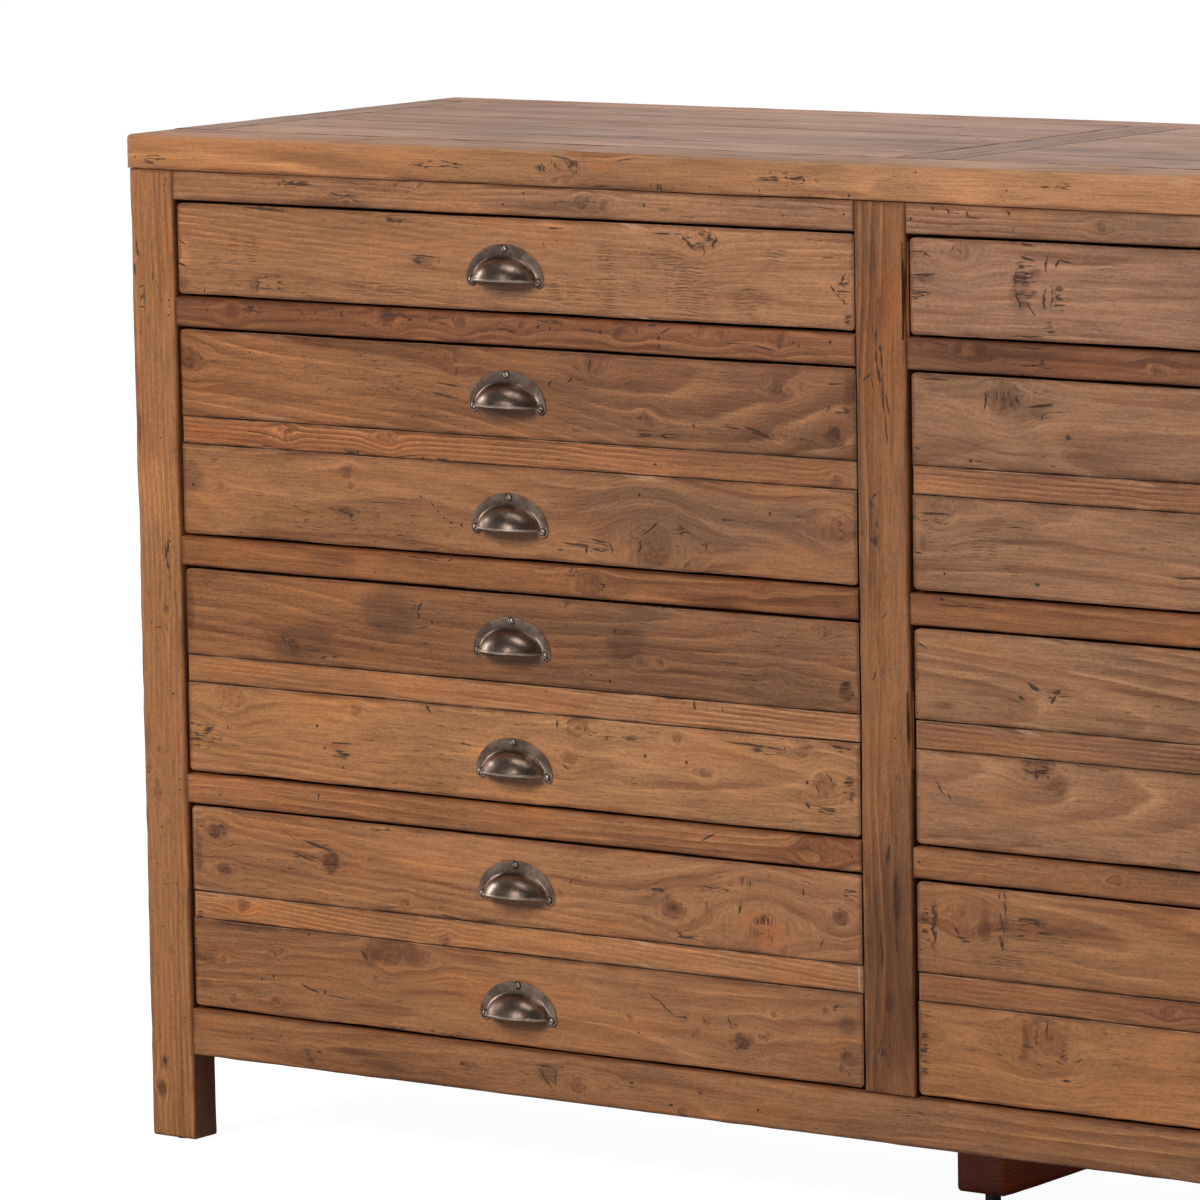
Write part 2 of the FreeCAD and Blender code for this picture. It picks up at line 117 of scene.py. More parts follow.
softbox("key_light", (-1.6, -6.4, 4.9), (0, -0.2, 0.5), 3.4, 2.6, 900)
softbox("back_light", (2.6, 6.5, 3.6), (0, 0.2, 0.5), 3.4, 2.6, 420)
softbox("right_fill", (6.5, 0.6, 2.4), (0.5, 0, 0.4), 3.0, 2.4, 70)
softbox("front_strip", (-1.7, -6.2, 1.8), (-0.3, -0.2, 0.6), 0.7, 2.6, 60, True)
softbox("side_strip", (-5.0, -0.9, 1.4), (-0.2, -0.2, 0.6), 0.9, 2.4, 50, True)
softbox("ceiling_panel", (-0.5, -2.2, 5.2), (0, -0.2, 0.6), 3.0, 1.2, 40, True)

studio = bpy.data.worlds.new("studio")
bpy.context.scene.world = studio
studio.use_nodes = True
tree = studio.node_tree
tree.nodes.clear()
way = put(tree, "LightPath")
facing = put(tree, "SeparateXYZ", {0: put(tree, "TexCoord").outputs["Generated"]})
behind = put(tree, "MapRange", {0: facing.outputs["Y"], 1: -0.35, 2: 0.55, 3: 0.10, 4: 1.15},
             interpolation_type="SMOOTHSTEP")
soft = put(tree, "Mix", {0: way.outputs["Is Glossy Ray"], 2: 0.24, 3: behind.outputs[0]})
shown = put(tree, "Mix", {0: way.outputs["Is Camera Ray"], 2: soft.outputs[0], 3: 1.0})
sky = put(tree, "Background", {"Strength": shown.outputs[0]})
put(tree, "OutputWorld", {"Surface": sky.outputs[0]})

paper, tree = blank("seamless_paper")
matt = put(tree, "BsdfDiffuse", {"Color": (0.42, 0.41, 0.40, 1)})
lit = put(tree, "BsdfDiffuse", {"Color": (0.95, 0.95, 0.95, 1)})
bright = put(tree, "Emission", {"Color": (1, 1, 1, 1), "Strength": 1.2})
seen = put(tree, "MixShader", {0: 0.80, 1: lit.outputs[0], 2: bright.outputs[0]})
by_camera = put(tree, "LightPath").outputs["Is Camera Ray"]
either = put(tree, "MixShader", {0: by_camera, 1: matt.outputs[0], 2: seen.outputs[0]})
put(tree, "OutputMaterial", {"Surface": either.outputs[0]})
bm = bmesh.new()
bmesh.ops.create_grid(bm, x_segments=4, y_segments=4, size=75)
finished("studio_floor", bm, [paper])

# ---------------------------------------------------------------------------------------------
# The front frame: reclaimed pine posts, a middle stile and rails, planed, waxed and worn soft at the
# edges, with old worm holes and cracks. The rails are tenoned into the posts and the stile.
# ---------------------------------------------------------------------------------------------
FACE = -0.2555
POST_BACK = -0.2195
CASE_HALF = 0.8903
POST_FACE = 0.8353
STILE_HALF = 0.0287
SILL = {"four": 0.136, "three": 0.3723, "two": 0.6086, "one": 0.8449}
CASE_TOP = 0.9686
TOP_RAIL_LOW = 0.9394
RAIL_HEIGHT = 0.030
BOTTOM_RAIL = (0.0885, SILL["four"])
POST_FOOT = 0.0025


def calc(tree, operation, a, b=0.0, clamp=False):
    """One arithmetic step."""
    return put(tree, "Math", {0: a, 1: b}, operation=operation, use_clamp=clamp).outputs[0]


def step(tree, operation, a, b=(0, 0, 0)):
    """One arithmetic step on vectors."""
    given = {0: a, "Scale": b} if operation == "SCALE" else {0: a} if operation == "LENGTH" else {0: a, 1: b}
    made = put(tree, "VectorMath", given, operation=operation)
    return made.outputs["Value" if operation == "LENGTH" else "Vector"]


def ramp(tree, value, start, end, low=0.0, high=1.0):
    """A soft step between two values."""
    limits = {0: value, 1: start, 2: end, 3: low, 4: high}
    return put(tree, "MapRange", limits, interpolation_type="SMOOTHSTEP").outputs[0]


def tint(tree, amount, a, b, blend="MIX"):
    """Lays one colour over another."""
    return put(tree, "Mix", {0: amount, 6: a, 7: b}, data_type="RGBA", blend_type=blend).outputs[2]


def dyed(tree, amount, tone, colour):
    """Multiplies a tone by a colour, by a given amount."""
    return tint(tree, amount, tone, tint(tree, 1.0, tone, (*colour, 1), "MULTIPLY"))


def grainy(tree, point, stretch, detail=2.0, colour=False):
    """Noise whose cells are as long as the stretch says, in cells to the metre."""
    made = put(tree, "TexNoise", {"Vector": step(tree, "MULTIPLY", point, stretch), "Scale": 1.0, "Detail": detail})
    return made.outputs["Color" if colour else "Fac"]


def effect(name, takes, gives):
    """An empty shader node group with named inputs and outputs."""
    tree = bpy.data.node_groups.new(name, "ShaderNodeTree")
    for label, kind in takes:
        tree.interface.new_socket(name=label, in_out="INPUT", socket_type="NodeSocket" + kind)
    for label, kind in gives:
        tree.interface.new_socket(name=label, in_out="OUTPUT", socket_type="NodeSocket" + kind)
    return tree, tree.nodes.new("NodeGroupInput").outputs, tree.nodes.new("NodeGroupOutput").inputs


def use(tree, group, inputs):
    """Places a node group in a tree."""
    made = tree.nodes.new("ShaderNodeGroup")
    made.node_tree = group
    for name, value in inputs.items():
        if isinstance(value, bpy.types.NodeSocket):
            tree.links.new(value, made.inputs[name])
        else:
            made.inputs[name].default_value = value
    return made.outputs


# how the grain runs: annual rings about a wandering pith, pushed aside round the knots
FIGURE = ("Ring", "Line", "Fibre", "Fleck", "Mottle", "Broad", "Streak")
GRAIN, inn, out = effect("pine_grain", [("Point", "Vector"), ("Push", "Vector"), ("Seed", "Float"), ("Pith", "Vector"),
                                        ("Pitch", "Float"), ("Sway", "Float"), ("Lean", "Vector")],
                         [(name, "Float") for name in FIGURE])
t = GRAIN
moved = step(t, "ADD", inn["Point"], inn["Push"])
own = step(t, "ADD", moved, step(t, "SCALE", (13.7, 7.3, 3.1), inn["Seed"]))
slow = step(t, "SUBTRACT", grainy(t, own, (1.5, 5, 5), 1.0, True), (0.5, 0.5, 0.5))
slow = step(t, "SCALE", step(t, "MULTIPLY", slow, (0, 1, 1)), inn["Sway"])
waver = step(t, "SUBTRACT", grainy(t, own, (7, 24, 24), 2.0, True), (0.5, 0.5, 0.5))
waver = step(t, "MULTIPLY", waver, (0, 0.008, 0.008))
lean = step(t, "SCALE", inn["Lean"], put(t, "SeparateXYZ", {0: moved}).outputs["X"])
spot = step(t, "ADD", step(t, "ADD", step(t, "ADD", moved, slow), waver), lean)
reach = step(t, "LENGTH", step(t, "MULTIPLY", step(t, "SUBTRACT", spot, inn["Pith"]), (0, 1, 1)))
phase = put(t, "Math", {0: calc(t, "DIVIDE", reach, inn["Pitch"])}, operation="FRACT").outputs[0]
late = calc(t, "MULTIPLY", ramp(t, phase, 0.15, 0.86), ramp(t, phase, 1.0, 0.93))
# a thin pale line at each ring's start: partly pale grain, partly a painted wax highlight on the raised ridge
crest_highlight = calc(t, "MULTIPLY", ramp(t, phase, 0.0, 0.05), ramp(t, phase, 0.26, 0.08))
fade = ramp(t, grainy(t, own, (2.6, 20, 20)), 0.36, 0.62, 0.15, 1.0)
t.links.new(calc(t, "MULTIPLY", late, fade), out["Ring"])
shows = ramp(t, grainy(t, step(t, "ADD", own, (0.7, 3.3, 1.9)), (5, 26, 26)), 0.44, 0.66)
t.links.new(calc(t, "MULTIPLY", crest_highlight, shows), out["Line"])
long, short = grainy(t, own, (24, 520, 520), 2.0), grainy(t, own, (300, 620, 620), 1.0)
t.links.new(calc(t, "ADD", calc(t, "MULTIPLY", long, 0.6), calc(t, "MULTIPLY", short, 0.4)), out["Fibre"])
t.links.new(ramp(t, grainy(t, own, (70, 700, 700), 1.0), 0.65, 0.73), out["Fleck"])
t.links.new(grainy(t, own, (7, 22, 22), 3.0), out["Mottle"])
t.links.new(grainy(t, own, (1.8, 6, 6), 1.0), out["Broad"])
other = step(t, "ADD", spot, step(t, "SCALE", (3.7, 1.3, 5.1), inn["Seed"]))
t.links.new(grainy(t, other, (3.2, 85, 85), 2.0), out["Streak"])

# a knot: its heart and dark rim are added to the masks so far, and the grain is pushed aside
KNOT, inn, out = effect("pine_knot", [("Point", "Vector"), ("Push", "Vector"), ("Heart", "Float"), ("Rim", "Float"),
                                      ("Centre", "Vector"), ("Radius", "Float"), ("Dark", "Float"),
                                      ("Patchy", "Float")],
                        [("Push", "Vector"), ("Heart", "Float"), ("Rim", "Float")])
t = KNOT
away = step(t, "MULTIPLY", step(t, "SUBTRACT", inn["Point"], inn["Centre"]), (0.8, 1, 0))
span = calc(t, "DIVIDE", step(t, "LENGTH", away), inn["Radius"])
fall = calc(t, "EXPONENT", calc(t, "MULTIPLY", calc(t, "MULTIPLY", span, span), -0.16))
aside = step(t, "SCALE", step(t, "MULTIPLY", away, (0, 1, 0)), fall)
t.links.new(step(t, "SUBTRACT", inn["Push"], aside), out["Push"])
eyes = calc(t, "MULTIPLY", calc(t, "SINE", calc(t, "MULTIPLY", span, 13.0)), 0.16)
eyes = calc(t, "ADD", eyes, calc(t, "ADD", calc(t, "MULTIPLY", inn["Patchy"], 0.7), 0.3))
heart = calc(t, "MULTIPLY", ramp(t, span, 1.15, 0.75), calc(t, "MULTIPLY", eyes, ramp(t, inn["Dark"], 0.0, 0.6)))
t.links.new(calc(t, "MAXIMUM", inn["Heart"], heart), out["Heart"])
rim = calc(t, "MULTIPLY", ramp(t, span, 0.72, 1.0), ramp(t, span, 1.3, 1.0))
rim = calc(t, "MAXIMUM", calc(t, "MULTIPLY", rim, 0.8), ramp(t, span, 0.55, 0.12))
rim = calc(t, "MULTIPLY", rim, ramp(t, inn["Patchy"], 0.36, 0.60))
t.links.new(calc(t, "MAXIMUM", inn["Rim"], calc(t, "MULTIPLY", rim, inn["Dark"])), out["Rim"])

# a crack, gouge or hole: a narrow ragged ellipse
CRACK, inn, out = effect("crack", [("Point", "Vector"), ("Cut", "Float"), ("Centre", "Vector"), ("Half", "Vector"),
                                   ("Turn", "Float"), ("Broken", "Float")], [("Cut", "Float")])
t = CRACK
away = put(t, "VectorRotate", {"Vector": inn["Point"], "Center": inn["Centre"], "Angle": inn["Turn"]},
           rotation_type="Z_AXIS").outputs[0]
away = step(t, "MULTIPLY", step(t, "SUBTRACT", away, inn["Centre"]), (1, 1, 0))
span = step(t, "LENGTH", step(t, "DIVIDE", away, inn["Half"]))
t.links.new(calc(t, "MAXIMUM", inn["Cut"], calc(t, "MULTIPLY", ramp(t, span, 1.1, 0.5), inn["Broken"])), out["Cut"])

# a patch of saw marks, torn grain or plane chatter: a pattern that shows inside a ragged ellipse
PATCH, inn, out = effect("marked_patch", [("Point", "Vector"), ("Cut", "Float"), ("Centre", "Vector"),
                                          ("Half", "Vector"), ("Pattern", "Float")], [("Cut", "Float")])
t = PATCH
away = step(t, "MULTIPLY", step(t, "SUBTRACT", inn["Point"], inn["Centre"]), (1, 1, 0))
patch = ramp(t, step(t, "LENGTH", step(t, "DIVIDE", away, inn["Half"])), 1.15, 0.6)
t.links.new(calc(t, "MAXIMUM", inn["Cut"], calc(t, "MULTIPLY", patch, inn["Pattern"])), out["Cut"])

# a stain or a sun-bleached patch with ragged edges
STAIN, inn, out = effect("stain", [("Point", "Vector"), ("Tone", "Color"), ("Centre", "Vector"), ("Half", "Vector"),
                                   ("Tint", "Color"), ("Ragged", "Float")], [("Tone", "Color")])
t = STAIN
away = step(t, "MULTIPLY", step(t, "SUBTRACT", inn["Point"], inn["Centre"]), (1, 1, 0))
span = step(t, "LENGTH", step(t, "DIVIDE", away, inn["Half"]))
span = calc(t, "ADD", span, calc(t, "MULTIPLY", calc(t, "SUBTRACT", inn["Ragged"], 0.5), 1.3))
stained = ramp(t, span, 1.25, 0.45)
t.links.new(tint(t, stained, inn["Tone"], tint(t, 1.0, inn["Tone"], inn["Tint"], "MULTIPLY")), out["Tone"])

# a darkened outline along a board's edges: dirt in its worn edges and joints, and painted shade where the board meets
# a gap
OUTLINE, inn, out = effect("darkened_outline", [("Point", "Vector"), ("Low", "Vector"), ("High", "Vector"),
                                            ("Reach", "Float")], [("Edge", "Float")])
t = OUTLINE
below, above = step(t, "SUBTRACT", inn["Point"], inn["Low"]), step(t, "SUBTRACT", inn["High"], inn["Point"])
near = step(t, "MINIMUM", below, above)
parts = put(t, "SeparateXYZ", {0: near})
near = calc(t, "MINIMUM", parts.outputs["X"], parts.outputs["Y"])
uneven = calc(t, "ADD", calc(t, "MULTIPLY", grainy(t, inn["Point"], (24, 60, 60), 3.0), 2.6), -0.5)
uneven = calc(t, "MULTIPLY", inn["Reach"], uneven)
t.links.new(ramp(t, calc(t, "DIVIDE", near, calc(t, "MAXIMUM", uneven, 0.0004)), 1.0, 0.1), out["Edge"])

# the waxed surface: everything above put together
MASKS = (*FIGURE, "Heart", "Rim", "Cut", "Edge", "Contrast", "Arris")
WAXED, inn, out = effect("waxed_pine", [("Tone", "Color"), *((name, "Float") for name in MASKS)],
                         [("Color", "Color"), ("Roughness", "Float"), ("Height", "Float")])
t = WAXED
shade = ramp(t, inn["Broad"], 0.3, 0.7, 0.86, 1.12)
shade = calc(t, "MULTIPLY", shade, ramp(t, inn["Fibre"], 0.38, 0.62, 0.80, 1.16))
flecks = calc(t, "MULTIPLY", inn["Fleck"], ramp(t, inn["Mottle"], 0.4, 0.62, 0.14, 0.62))
shade = calc(t, "MULTIPLY", shade, calc(t, "SUBTRACT", 1.0, flecks))
whole = step(t, "SCALE", inn["Tone"], shade)
whole = dyed(t, ramp(t, inn["Mottle"], 0.50, 0.68, 0.0, 0.8), whole, (0.80, 0.84, 0.88))
whole = dyed(t, ramp(t, inn["Mottle"], 0.46, 0.30), whole, (1.10, 1.03, 0.92))
whole = dyed(t, ramp(t, inn["Streak"], 0.56, 0.72, 0.0, 0.75), whole, (0.66, 0.54, 0.47))
whole = dyed(t, ramp(t, inn["Streak"], 0.44, 0.30, 0.0, 0.75), whole, (1.16, 1.15, 1.10))
whole = dyed(t, calc(t, "MULTIPLY", inn["Ring"], inn["Contrast"]), whole, (0.54, 0.44, 0.38))
# the pale ring lines: partly grain, partly a painted wax highlight
whole = dyed(t, calc(t, "MULTIPLY", inn["Line"], inn["Contrast"]), whole, (1.48, 1.50, 1.52))
whole = dyed(t, inn["Heart"], whole, (0.66, 0.54, 0.47))
# near the outline the tone darkens: partly dirt, partly painted shade of the gaps between parts
whole = dyed(t, calc(t, "MULTIPLY", inn["Edge"], 0.75), whole, (0.46, 0.34, 0.27))
# the eased edges are painted paler: partly wood worn bare, partly a painted highlight where they catch the light
whole = tint(t, inn["Arris"], whole, (0.34, 0.21, 0.13, 1))
whole = tint(t, calc(t, "MULTIPLY", inn["Rim"], 0.85), whole, (0.045, 0.022, 0.014, 1))
whole = tint(t, calc(t, "MULTIPLY", inn["Cut"], 0.95), whole, (0.035, 0.018, 0.012, 1))
t.links.new(whole, out["Color"])
wax = ramp(t, inn["Mottle"], 0.3, 0.7, 0.44, 0.56)
t.links.new(calc(t, "ADD", wax, calc(t, "MULTIPLY", inn["Cut"], 0.25)), out["Roughness"])
height = calc(t, "ADD", calc(t, "MULTIPLY", inn["Fibre"], 0.20), calc(t, "MULTIPLY", inn["Mottle"], 0.3))
height = calc(t, "ADD", height, calc(t, "MULTIPLY", inn["Line"], 0.12))
deep = calc(t, "ADD", calc(t, "MULTIPLY", inn["Cut"], 1.6), calc(t, "MULTIPLY", inn["Rim"], 0.8))
height = calc(t, "SUBTRACT", height, deep)
t.links.new(height, out["Height"])

TINTS = {"pale": (1.24, 1.26, 1.22, 1), "dirty": (0.66, 0.64, 0.65, 1), "orange": (1.10, 0.92, 0.72, 1),
         "red": (0.86, 0.70, 0.66, 1), "grey": (0.80, 0.85, 0.95, 1), "sunny": (1.13, 1.13, 1.12, 1),
         "dull": (0.89, 0.91, 0.95, 1), "dark": (0.62, 0.55, 0.52, 1)}
AXES = {"X": "XZY", "Z": "ZXY", "Y": "YZX", "top": "XYZ", "edge": "XYZ", "cross": "YXZ"}


def listed(marks):
    """Reads a list of marks one by one: the kind, then its numbers and words."""
    for group in filter(None, marks.split(";")):
        kind, places = group.split(None, 1)
        for place in places.split(","):
            yield kind, place.split()


def pine(name, run, tone, seed, low, high, marks="", pith=(0.05, -0.06), pitch=0.0075, sway=0.05, contrast=0.6,
         edge=0.006, seams="", open_joint=0.0016, lean=(0.0, 0.0), arris=0.0):
    """Waxed old pine for one board. run says along which axis its grain and its face lie; marks lists the
    places of its knots and scars by kind, in millimetres along the grain and across it; seams are its glued joints,
    where dirt lies in a fine line; lean tilts the log in the board; edge is how far the darkened outline reaches,
    dirt and painted shade; arris is how pale the eased edges are, partly wear and partly a painted highlight."""
    material, tree = blank(name)
    order = AXES[run]

    def turned(corner):
        return tuple(corner["XYZ".index(axis)] for axis in order)

    at = put(tree, "SeparateXYZ", {0: put(tree, "TexCoord").outputs["Object"]}).outputs
    point = {i: at[axis] for i, axis in enumerate(order)}
    if run == "edge":
        point[1] = calc(tree, "ADD", at["Y"], calc(tree, "SUBTRACT", at["Z"], high[2]))
    point = put(tree, "CombineXYZ", point).outputs[0]

    def wander(stretch, detail):
        return step(tree, "SUBTRACT", grainy(tree, point, stretch, detail, True), (0.5, 0.5, 0.5))

    rough, swirl = wander((90, 170, 170), 3.0), wander((30, 44, 44), 1.0)
    rough = step(tree, "ADD", step(tree, "MULTIPLY", rough, (0.012, 0.006, 0)),
                 step(tree, "MULTIPLY", swirl, (0.016, 0.012, 0)))
    rough = step(tree, "ADD", point, rough)
    fine = wander((60, 130, 130), 3.0)
    scored = step(tree, "ADD", point, step(tree, "MULTIPLY", fine, (0.010, 0.0026, 0)))
    pricked = step(tree, "ADD", point, step(tree, "MULTIPLY", fine, (0.002, 0.002, 0)))
    patchy = grainy(tree, point, (120, 190, 190), 2.0)
    broken = ramp(tree, grainy(tree, point, (90, 160, 160), 2.0), 0.26, 0.44)
    ragged = grainy(tree, point, (16, 44, 44), 4.0)
    gaps = ramp(tree, grainy(tree, step(tree, "ADD", point, (3.1, 7.7, 0)), (60, 110, 0), 2.0), 0.42, 0.54)
    across = put(tree, "SeparateXYZ", {0: point}).outputs["Y"]
    stroke = calc(tree, "MULTIPLY", across, 2100.0)
    stroke = calc(tree, "ADD", stroke, calc(tree, "MULTIPLY", grainy(tree, point, (24, 60, 0), 1.0), 16.0))
    teeth = ramp(tree, calc(tree, "SINE", stroke), 0.05, 0.6)
    bites = ramp(tree, grainy(tree, point, (70, 200, 0), 1.0), 0.42, 0.50, 0.0, 0.5)
    patterns = {"saw": calc(tree, "MULTIPLY", teeth, bites)}
    for kind, stretch in (("torn", (26, 210, 0)), ("ripple", (210, 26, 0))):
        level = calc(tree, "ABSOLUTE", calc(tree, "SUBTRACT", grainy(tree, point, stretch, 2.0), 0.5))
        patterns[kind] = calc(tree, "MULTIPLY", ramp(tree, level, 0.06, 0.01), gaps)
    state = {"Push": (0, 0, 0), "Heart": 0.0, "Rim": 0.0, "Cut": 0.0, "Tone": (*tone, 1)}
    for kind, rest in listed(marks):
        numbers = [float(word) for word in rest if word not in TINTS]
        given = {"Point": scored, "Centre": (numbers[0] / 1000, numbers[1] / 1000, 0)}
        if kind in ("crack", "stain", *patterns):
            given["Half"] = (numbers[2] / 2000, numbers[3] / 2000, 1)
        if kind == "knot":
            group = KNOT
            given.update(Point=rough, Radius=numbers[2] / 1000, Dark=min(1.0, 1.5 * numbers[3]), Patchy=patchy)
        elif kind == "pin":
            group, half = CRACK, numbers[2] / 1000
            given.update(Point=pricked, Half=(half, half, 1), Turn=0.0, Broken=1.0)
        elif kind == "crack":
            group = CRACK
            given.update(Turn=-math.radians(numbers[4]), Broken=broken)
        elif kind in patterns:
            group = PATCH
            given.update(Pattern=patterns[kind])
        else:
            group = STAIN
            given.update(Point=point, Tint=TINTS[rest[-1]], Ragged=ragged)
        taken = {"knot": ("Push", "Heart", "Rim"), "stain": ("Tone",)}.get(kind, ("Cut",))
        for socket in use(tree, group, given | {name: state[name] for name in taken}):
            state[socket.name] = socket
    bounds = {("-", "xyz"[i]): low[i] for i in range(3)} | {("+", "xyz"[i]): high[i] for i in range(3)}
    if seams:
        tight = {(seams[i], seams[i + 1]) for i in range(0, len(seams), 2)}
        low_joint = turned([bounds["-", a] if ("-", a) in tight else -9.0 for a in "xyz"])
        high_joint = turned([bounds["+", a] if ("+", a) in tight else 9.0 for a in "xyz"])
        joint = use(tree, OUTLINE, {"Point": point, "Low": low_joint, "High": high_joint, "Reach": open_joint})
        state["Cut"] = calc(tree, "MAXIMUM", state["Cut"], joint["Edge"])
    low, high = turned(low), turned(high)
    pith = (0, (low[1] + high[1]) / 2 + pith[0], (low[2] + high[2]) / 2 + pith[1])
    figure = use(tree, GRAIN, {"Point": point, "Push": state["Push"], "Seed": float(seed), "Pitch": pitch,
                               "Sway": sway, "Lean": (0, *lean), "Pith": pith})
    warm = tint(tree, ramp(tree, at["X"], -0.80, -0.10), (1.02, 0.98, 0.90, 1), (0.98, 1.01, 1.08, 1))
    # the board's darkened outline: dirt and painted shade along its edges, where it meets the gaps
    edge_dirt_and_shade = use(tree, OUTLINE, {"Point": point, "Low": low, "High": high, "Reach": edge})
    # the eased strips, found by how far the surface turns, get a pale colour: partly wear, partly painted highlight
    turn = step(tree, "ABSOLUTE", put(tree, "NewGeometry").outputs["True Normal"])
    turn = put(tree, "SeparateXYZ", {0: turn}).outputs
    turn = calc(tree, "MAXIMUM", calc(tree, "MAXIMUM", turn["X"], turn["Y"]), turn["Z"])
    worn_and_lit_arris = ramp(tree, turn, 0.985, 0.93, 0.0, arris)
    worn_and_lit_arris = calc(tree, "MULTIPLY", worn_and_lit_arris, ramp(tree, patchy, 0.30, 0.55, 0.4, 1.0))
    seen = {name: figure[name] for name in FIGURE} | {name: state[name] for name in ("Heart", "Rim", "Cut")}
    seen |= {"Edge": edge_dirt_and_shade["Edge"], "Contrast": contrast, "Arris": worn_and_lit_arris}
    done = use(tree, WAXED, seen | {"Tone": tint(tree, 1.0, state["Tone"], warm, "MULTIPLY")})
    bump = put(tree, "Bump", {"Height": done["Height"], "Distance": 0.0012, "Strength": 0.55})
    skin = put(tree, "BsdfPrincipled", {"Base Color": done["Color"], "Roughness": done["Roughness"],
                                        "Normal": bump.outputs[0], "Specular IOR Level": 0.34})
    put(tree, "OutputMaterial", {"Surface": skin.outputs[0]})
    return material


def board(name, low, high, along, material, seams="", ease=0.0022, wear=0.0009, round_corners=0.0, chips=(),
          seed=1.0, pitch=0.018):
    """One board between two corners. Its edges are eased, its joints with other boards (seams, such as
    "+x-z") stay tight, and its outline is worn in small waves. A chip is a place, half length and depth."""
    low, high = Vector(low), Vector(high)
    size = high - low
    bm = bmesh.new()
    bmesh.ops.create_cube(bm, size=1)
    bmesh.ops.scale(bm, verts=bm.verts, vec=size)
    bmesh.ops.translate(bm, verts=bm.verts, vec=(low + high) / 2)
    planes = [("xyz".index(seams[i + 1]), (high if seams[i] == "+" else low)["xyz".index(seams[i + 1])])
              for i in range(0, len(seams), 2)]

    def on_seam(edge, give=1e-5):
        return any(all(abs(v.co[axis] - level) < give for v in edge.verts) for axis, level in planes)

    def bevel(edges, offset, segments):
        bmesh.ops.bevel(bm, geom=list(edges), offset=offset, segments=segments, profile=0.5, affect="EDGES",
                        material=-1, clamp_overlap=True)

    if round_corners:
        bevel([e for e in bm.edges if abs(e.verts[0].co.y - e.verts[1].co.y) > 1e-4
               and not on_seam(e)], round_corners, 4)
    if planes:
        bevel([e for e in bm.edges if on_seam(e)], 0.0006, 1)
    bevel([e for e in bm.edges if len(e.link_faces) == 2 and e.calc_face_angle() > 1.25 and e.calc_length() > 0.002
           and not on_seam(e, 0.0007)], ease, 3)
    axis = "xyz".index(along)
    slices = max(4, round(size[axis] / pitch))
    reach = 1.6 * ease
    margin = reach + 0.0005
    for i in range(3):
        normal = Vector([float(k == i) for k in range(3)])
        places = [low[i] + margin, high[i] - margin] if size[i] > 3 * margin else []
        if i == axis:
            places += [low[i] + size[i] * k / slices for k in range(1, slices)]
        for place in places:
            bmesh.ops.bisect_plane(bm, geom=bm.verts[:] + bm.edges[:] + bm.faces[:], plane_co=normal * place,
                                   plane_no=normal)
    others = [i for i in range(3) if i != axis]
    centre = (low + high) / 2
    for v in bm.verts:
        close = [min(v.co[i] - low[i], high[i] - v.co[i]) < reach for i in range(3)]
        if sum(close) < 2:
            continue
        start = v.co.copy()
        for i in others:
            if close[i]:
                row = seed * 9.1 + i * 3.7 + (start[i] > centre[i]) * 5.3
                field = noise.noise(Vector((start[axis] * 9, row, seed)))
                field += 0.6 * noise.noise(Vector((start[axis] * 41, seed * 4.3 + i, 2.2 * seed)))
                amount = wear * max(0.0, 0.25 + field)
                on_arris = start.y < centre.y and (start.z > centre.z if axis == 0 else start.x > centre.x)
                for spot, half, depth in chips:
                    off = abs(start[axis] - spot) / half
                    if off < 1 and on_arris:
                        amount += depth * (0.5 + 0.5 * math.cos(math.pi * off)) * (1 + 0.5 * field)
                v.co[i] += amount if start[i] < centre[i] else -amount
    return finished(name, bm, [material], 0.7)


def fit(piece, slot, *nodes):
    """A case piece that stands for CAD nodes."""
    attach(piece, "case")
    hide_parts(*nodes)


def scatter(seed, low, high, knots, cracks, size=6):
    """Seeded knots and cracks for a board whose face has no marks of its own, in millimetres."""
    any_of = random.Random(seed).uniform
    kinds = {"knot": [], "crack": []}
    for _ in range(knots):
        spot = any_of(low[0], high[0]), any_of(low[1], high[1])
        kinds["knot"].append("%.0f %.0f %.1f %.2f" % (*spot, any_of(0.6, 1.5) * size, any_of(0.35, 0.8)))
    for _ in range(cracks):
        spot = any_of(low[0], high[0]), any_of(low[1], high[1])
        kinds["crack"].append("%.0f %.0f %.0f %.1f %.0f" % (*spot, any_of(20, 80), any_of(1.4, 2.6), any_of(-6, 6)))
    return ";".join(f"{kind} {','.join(places)}" for kind, places in kinds.items() if places)


POST_MARKS = """
pin 959 -843 1.2,953 -846 1,948 -846 1,840 -852 1.1,840 -843 1.3,834 -843 1.1,825 -844 1.3,704 -858 1.2,610 -849 1.3,
602 -849 1.3,519 -875 1.2,488 -853 1,450 -850 1.5,369 -883 1.4,391 -862 1,365 -844 1.2,354 -844 1.2,315 -868 1.3,
278 -875 1.1,267 -862 1,258 -865 1.1,260 -852 1.1,215 -870 1.2,177 -877 1,125 -845 1.1,104 -876 1,91 -850 1.1;
torn 886 -882 26 9,873 -884 20 8,848 -877 24 10,583 -856 60 18,382 -871 14 6,80 -875 20 13,51 -877 24 14;
crack 862 -863 11 1.4 8,856 -858 11 1.2 -18,853 -878 8 1.6 51,843 -877 8 1.6 51,832 -877 9 1.6 -80,821 -870 13 1 -10,
594 -845 9 1.2 -25,515 -866 10 1.4 -88,502 -859 18 1.2 -10,516 -856 10 1 -13,194 -861 7 1.2 -33;
stain 715 -885 40 10 dirty,652 -867 70 51 pale,403 -884 30 8 red,78 -873 18 15 dirty,51 -877 22 14 dark;
knot 534 -855 3 .8,376 -883 4.6 .45,360 -875 3.2 .5,347 -874 5.2 .4,392 -870 2.3 .5,54 -877 4.6 .5;saw 51 -877 20 12"""
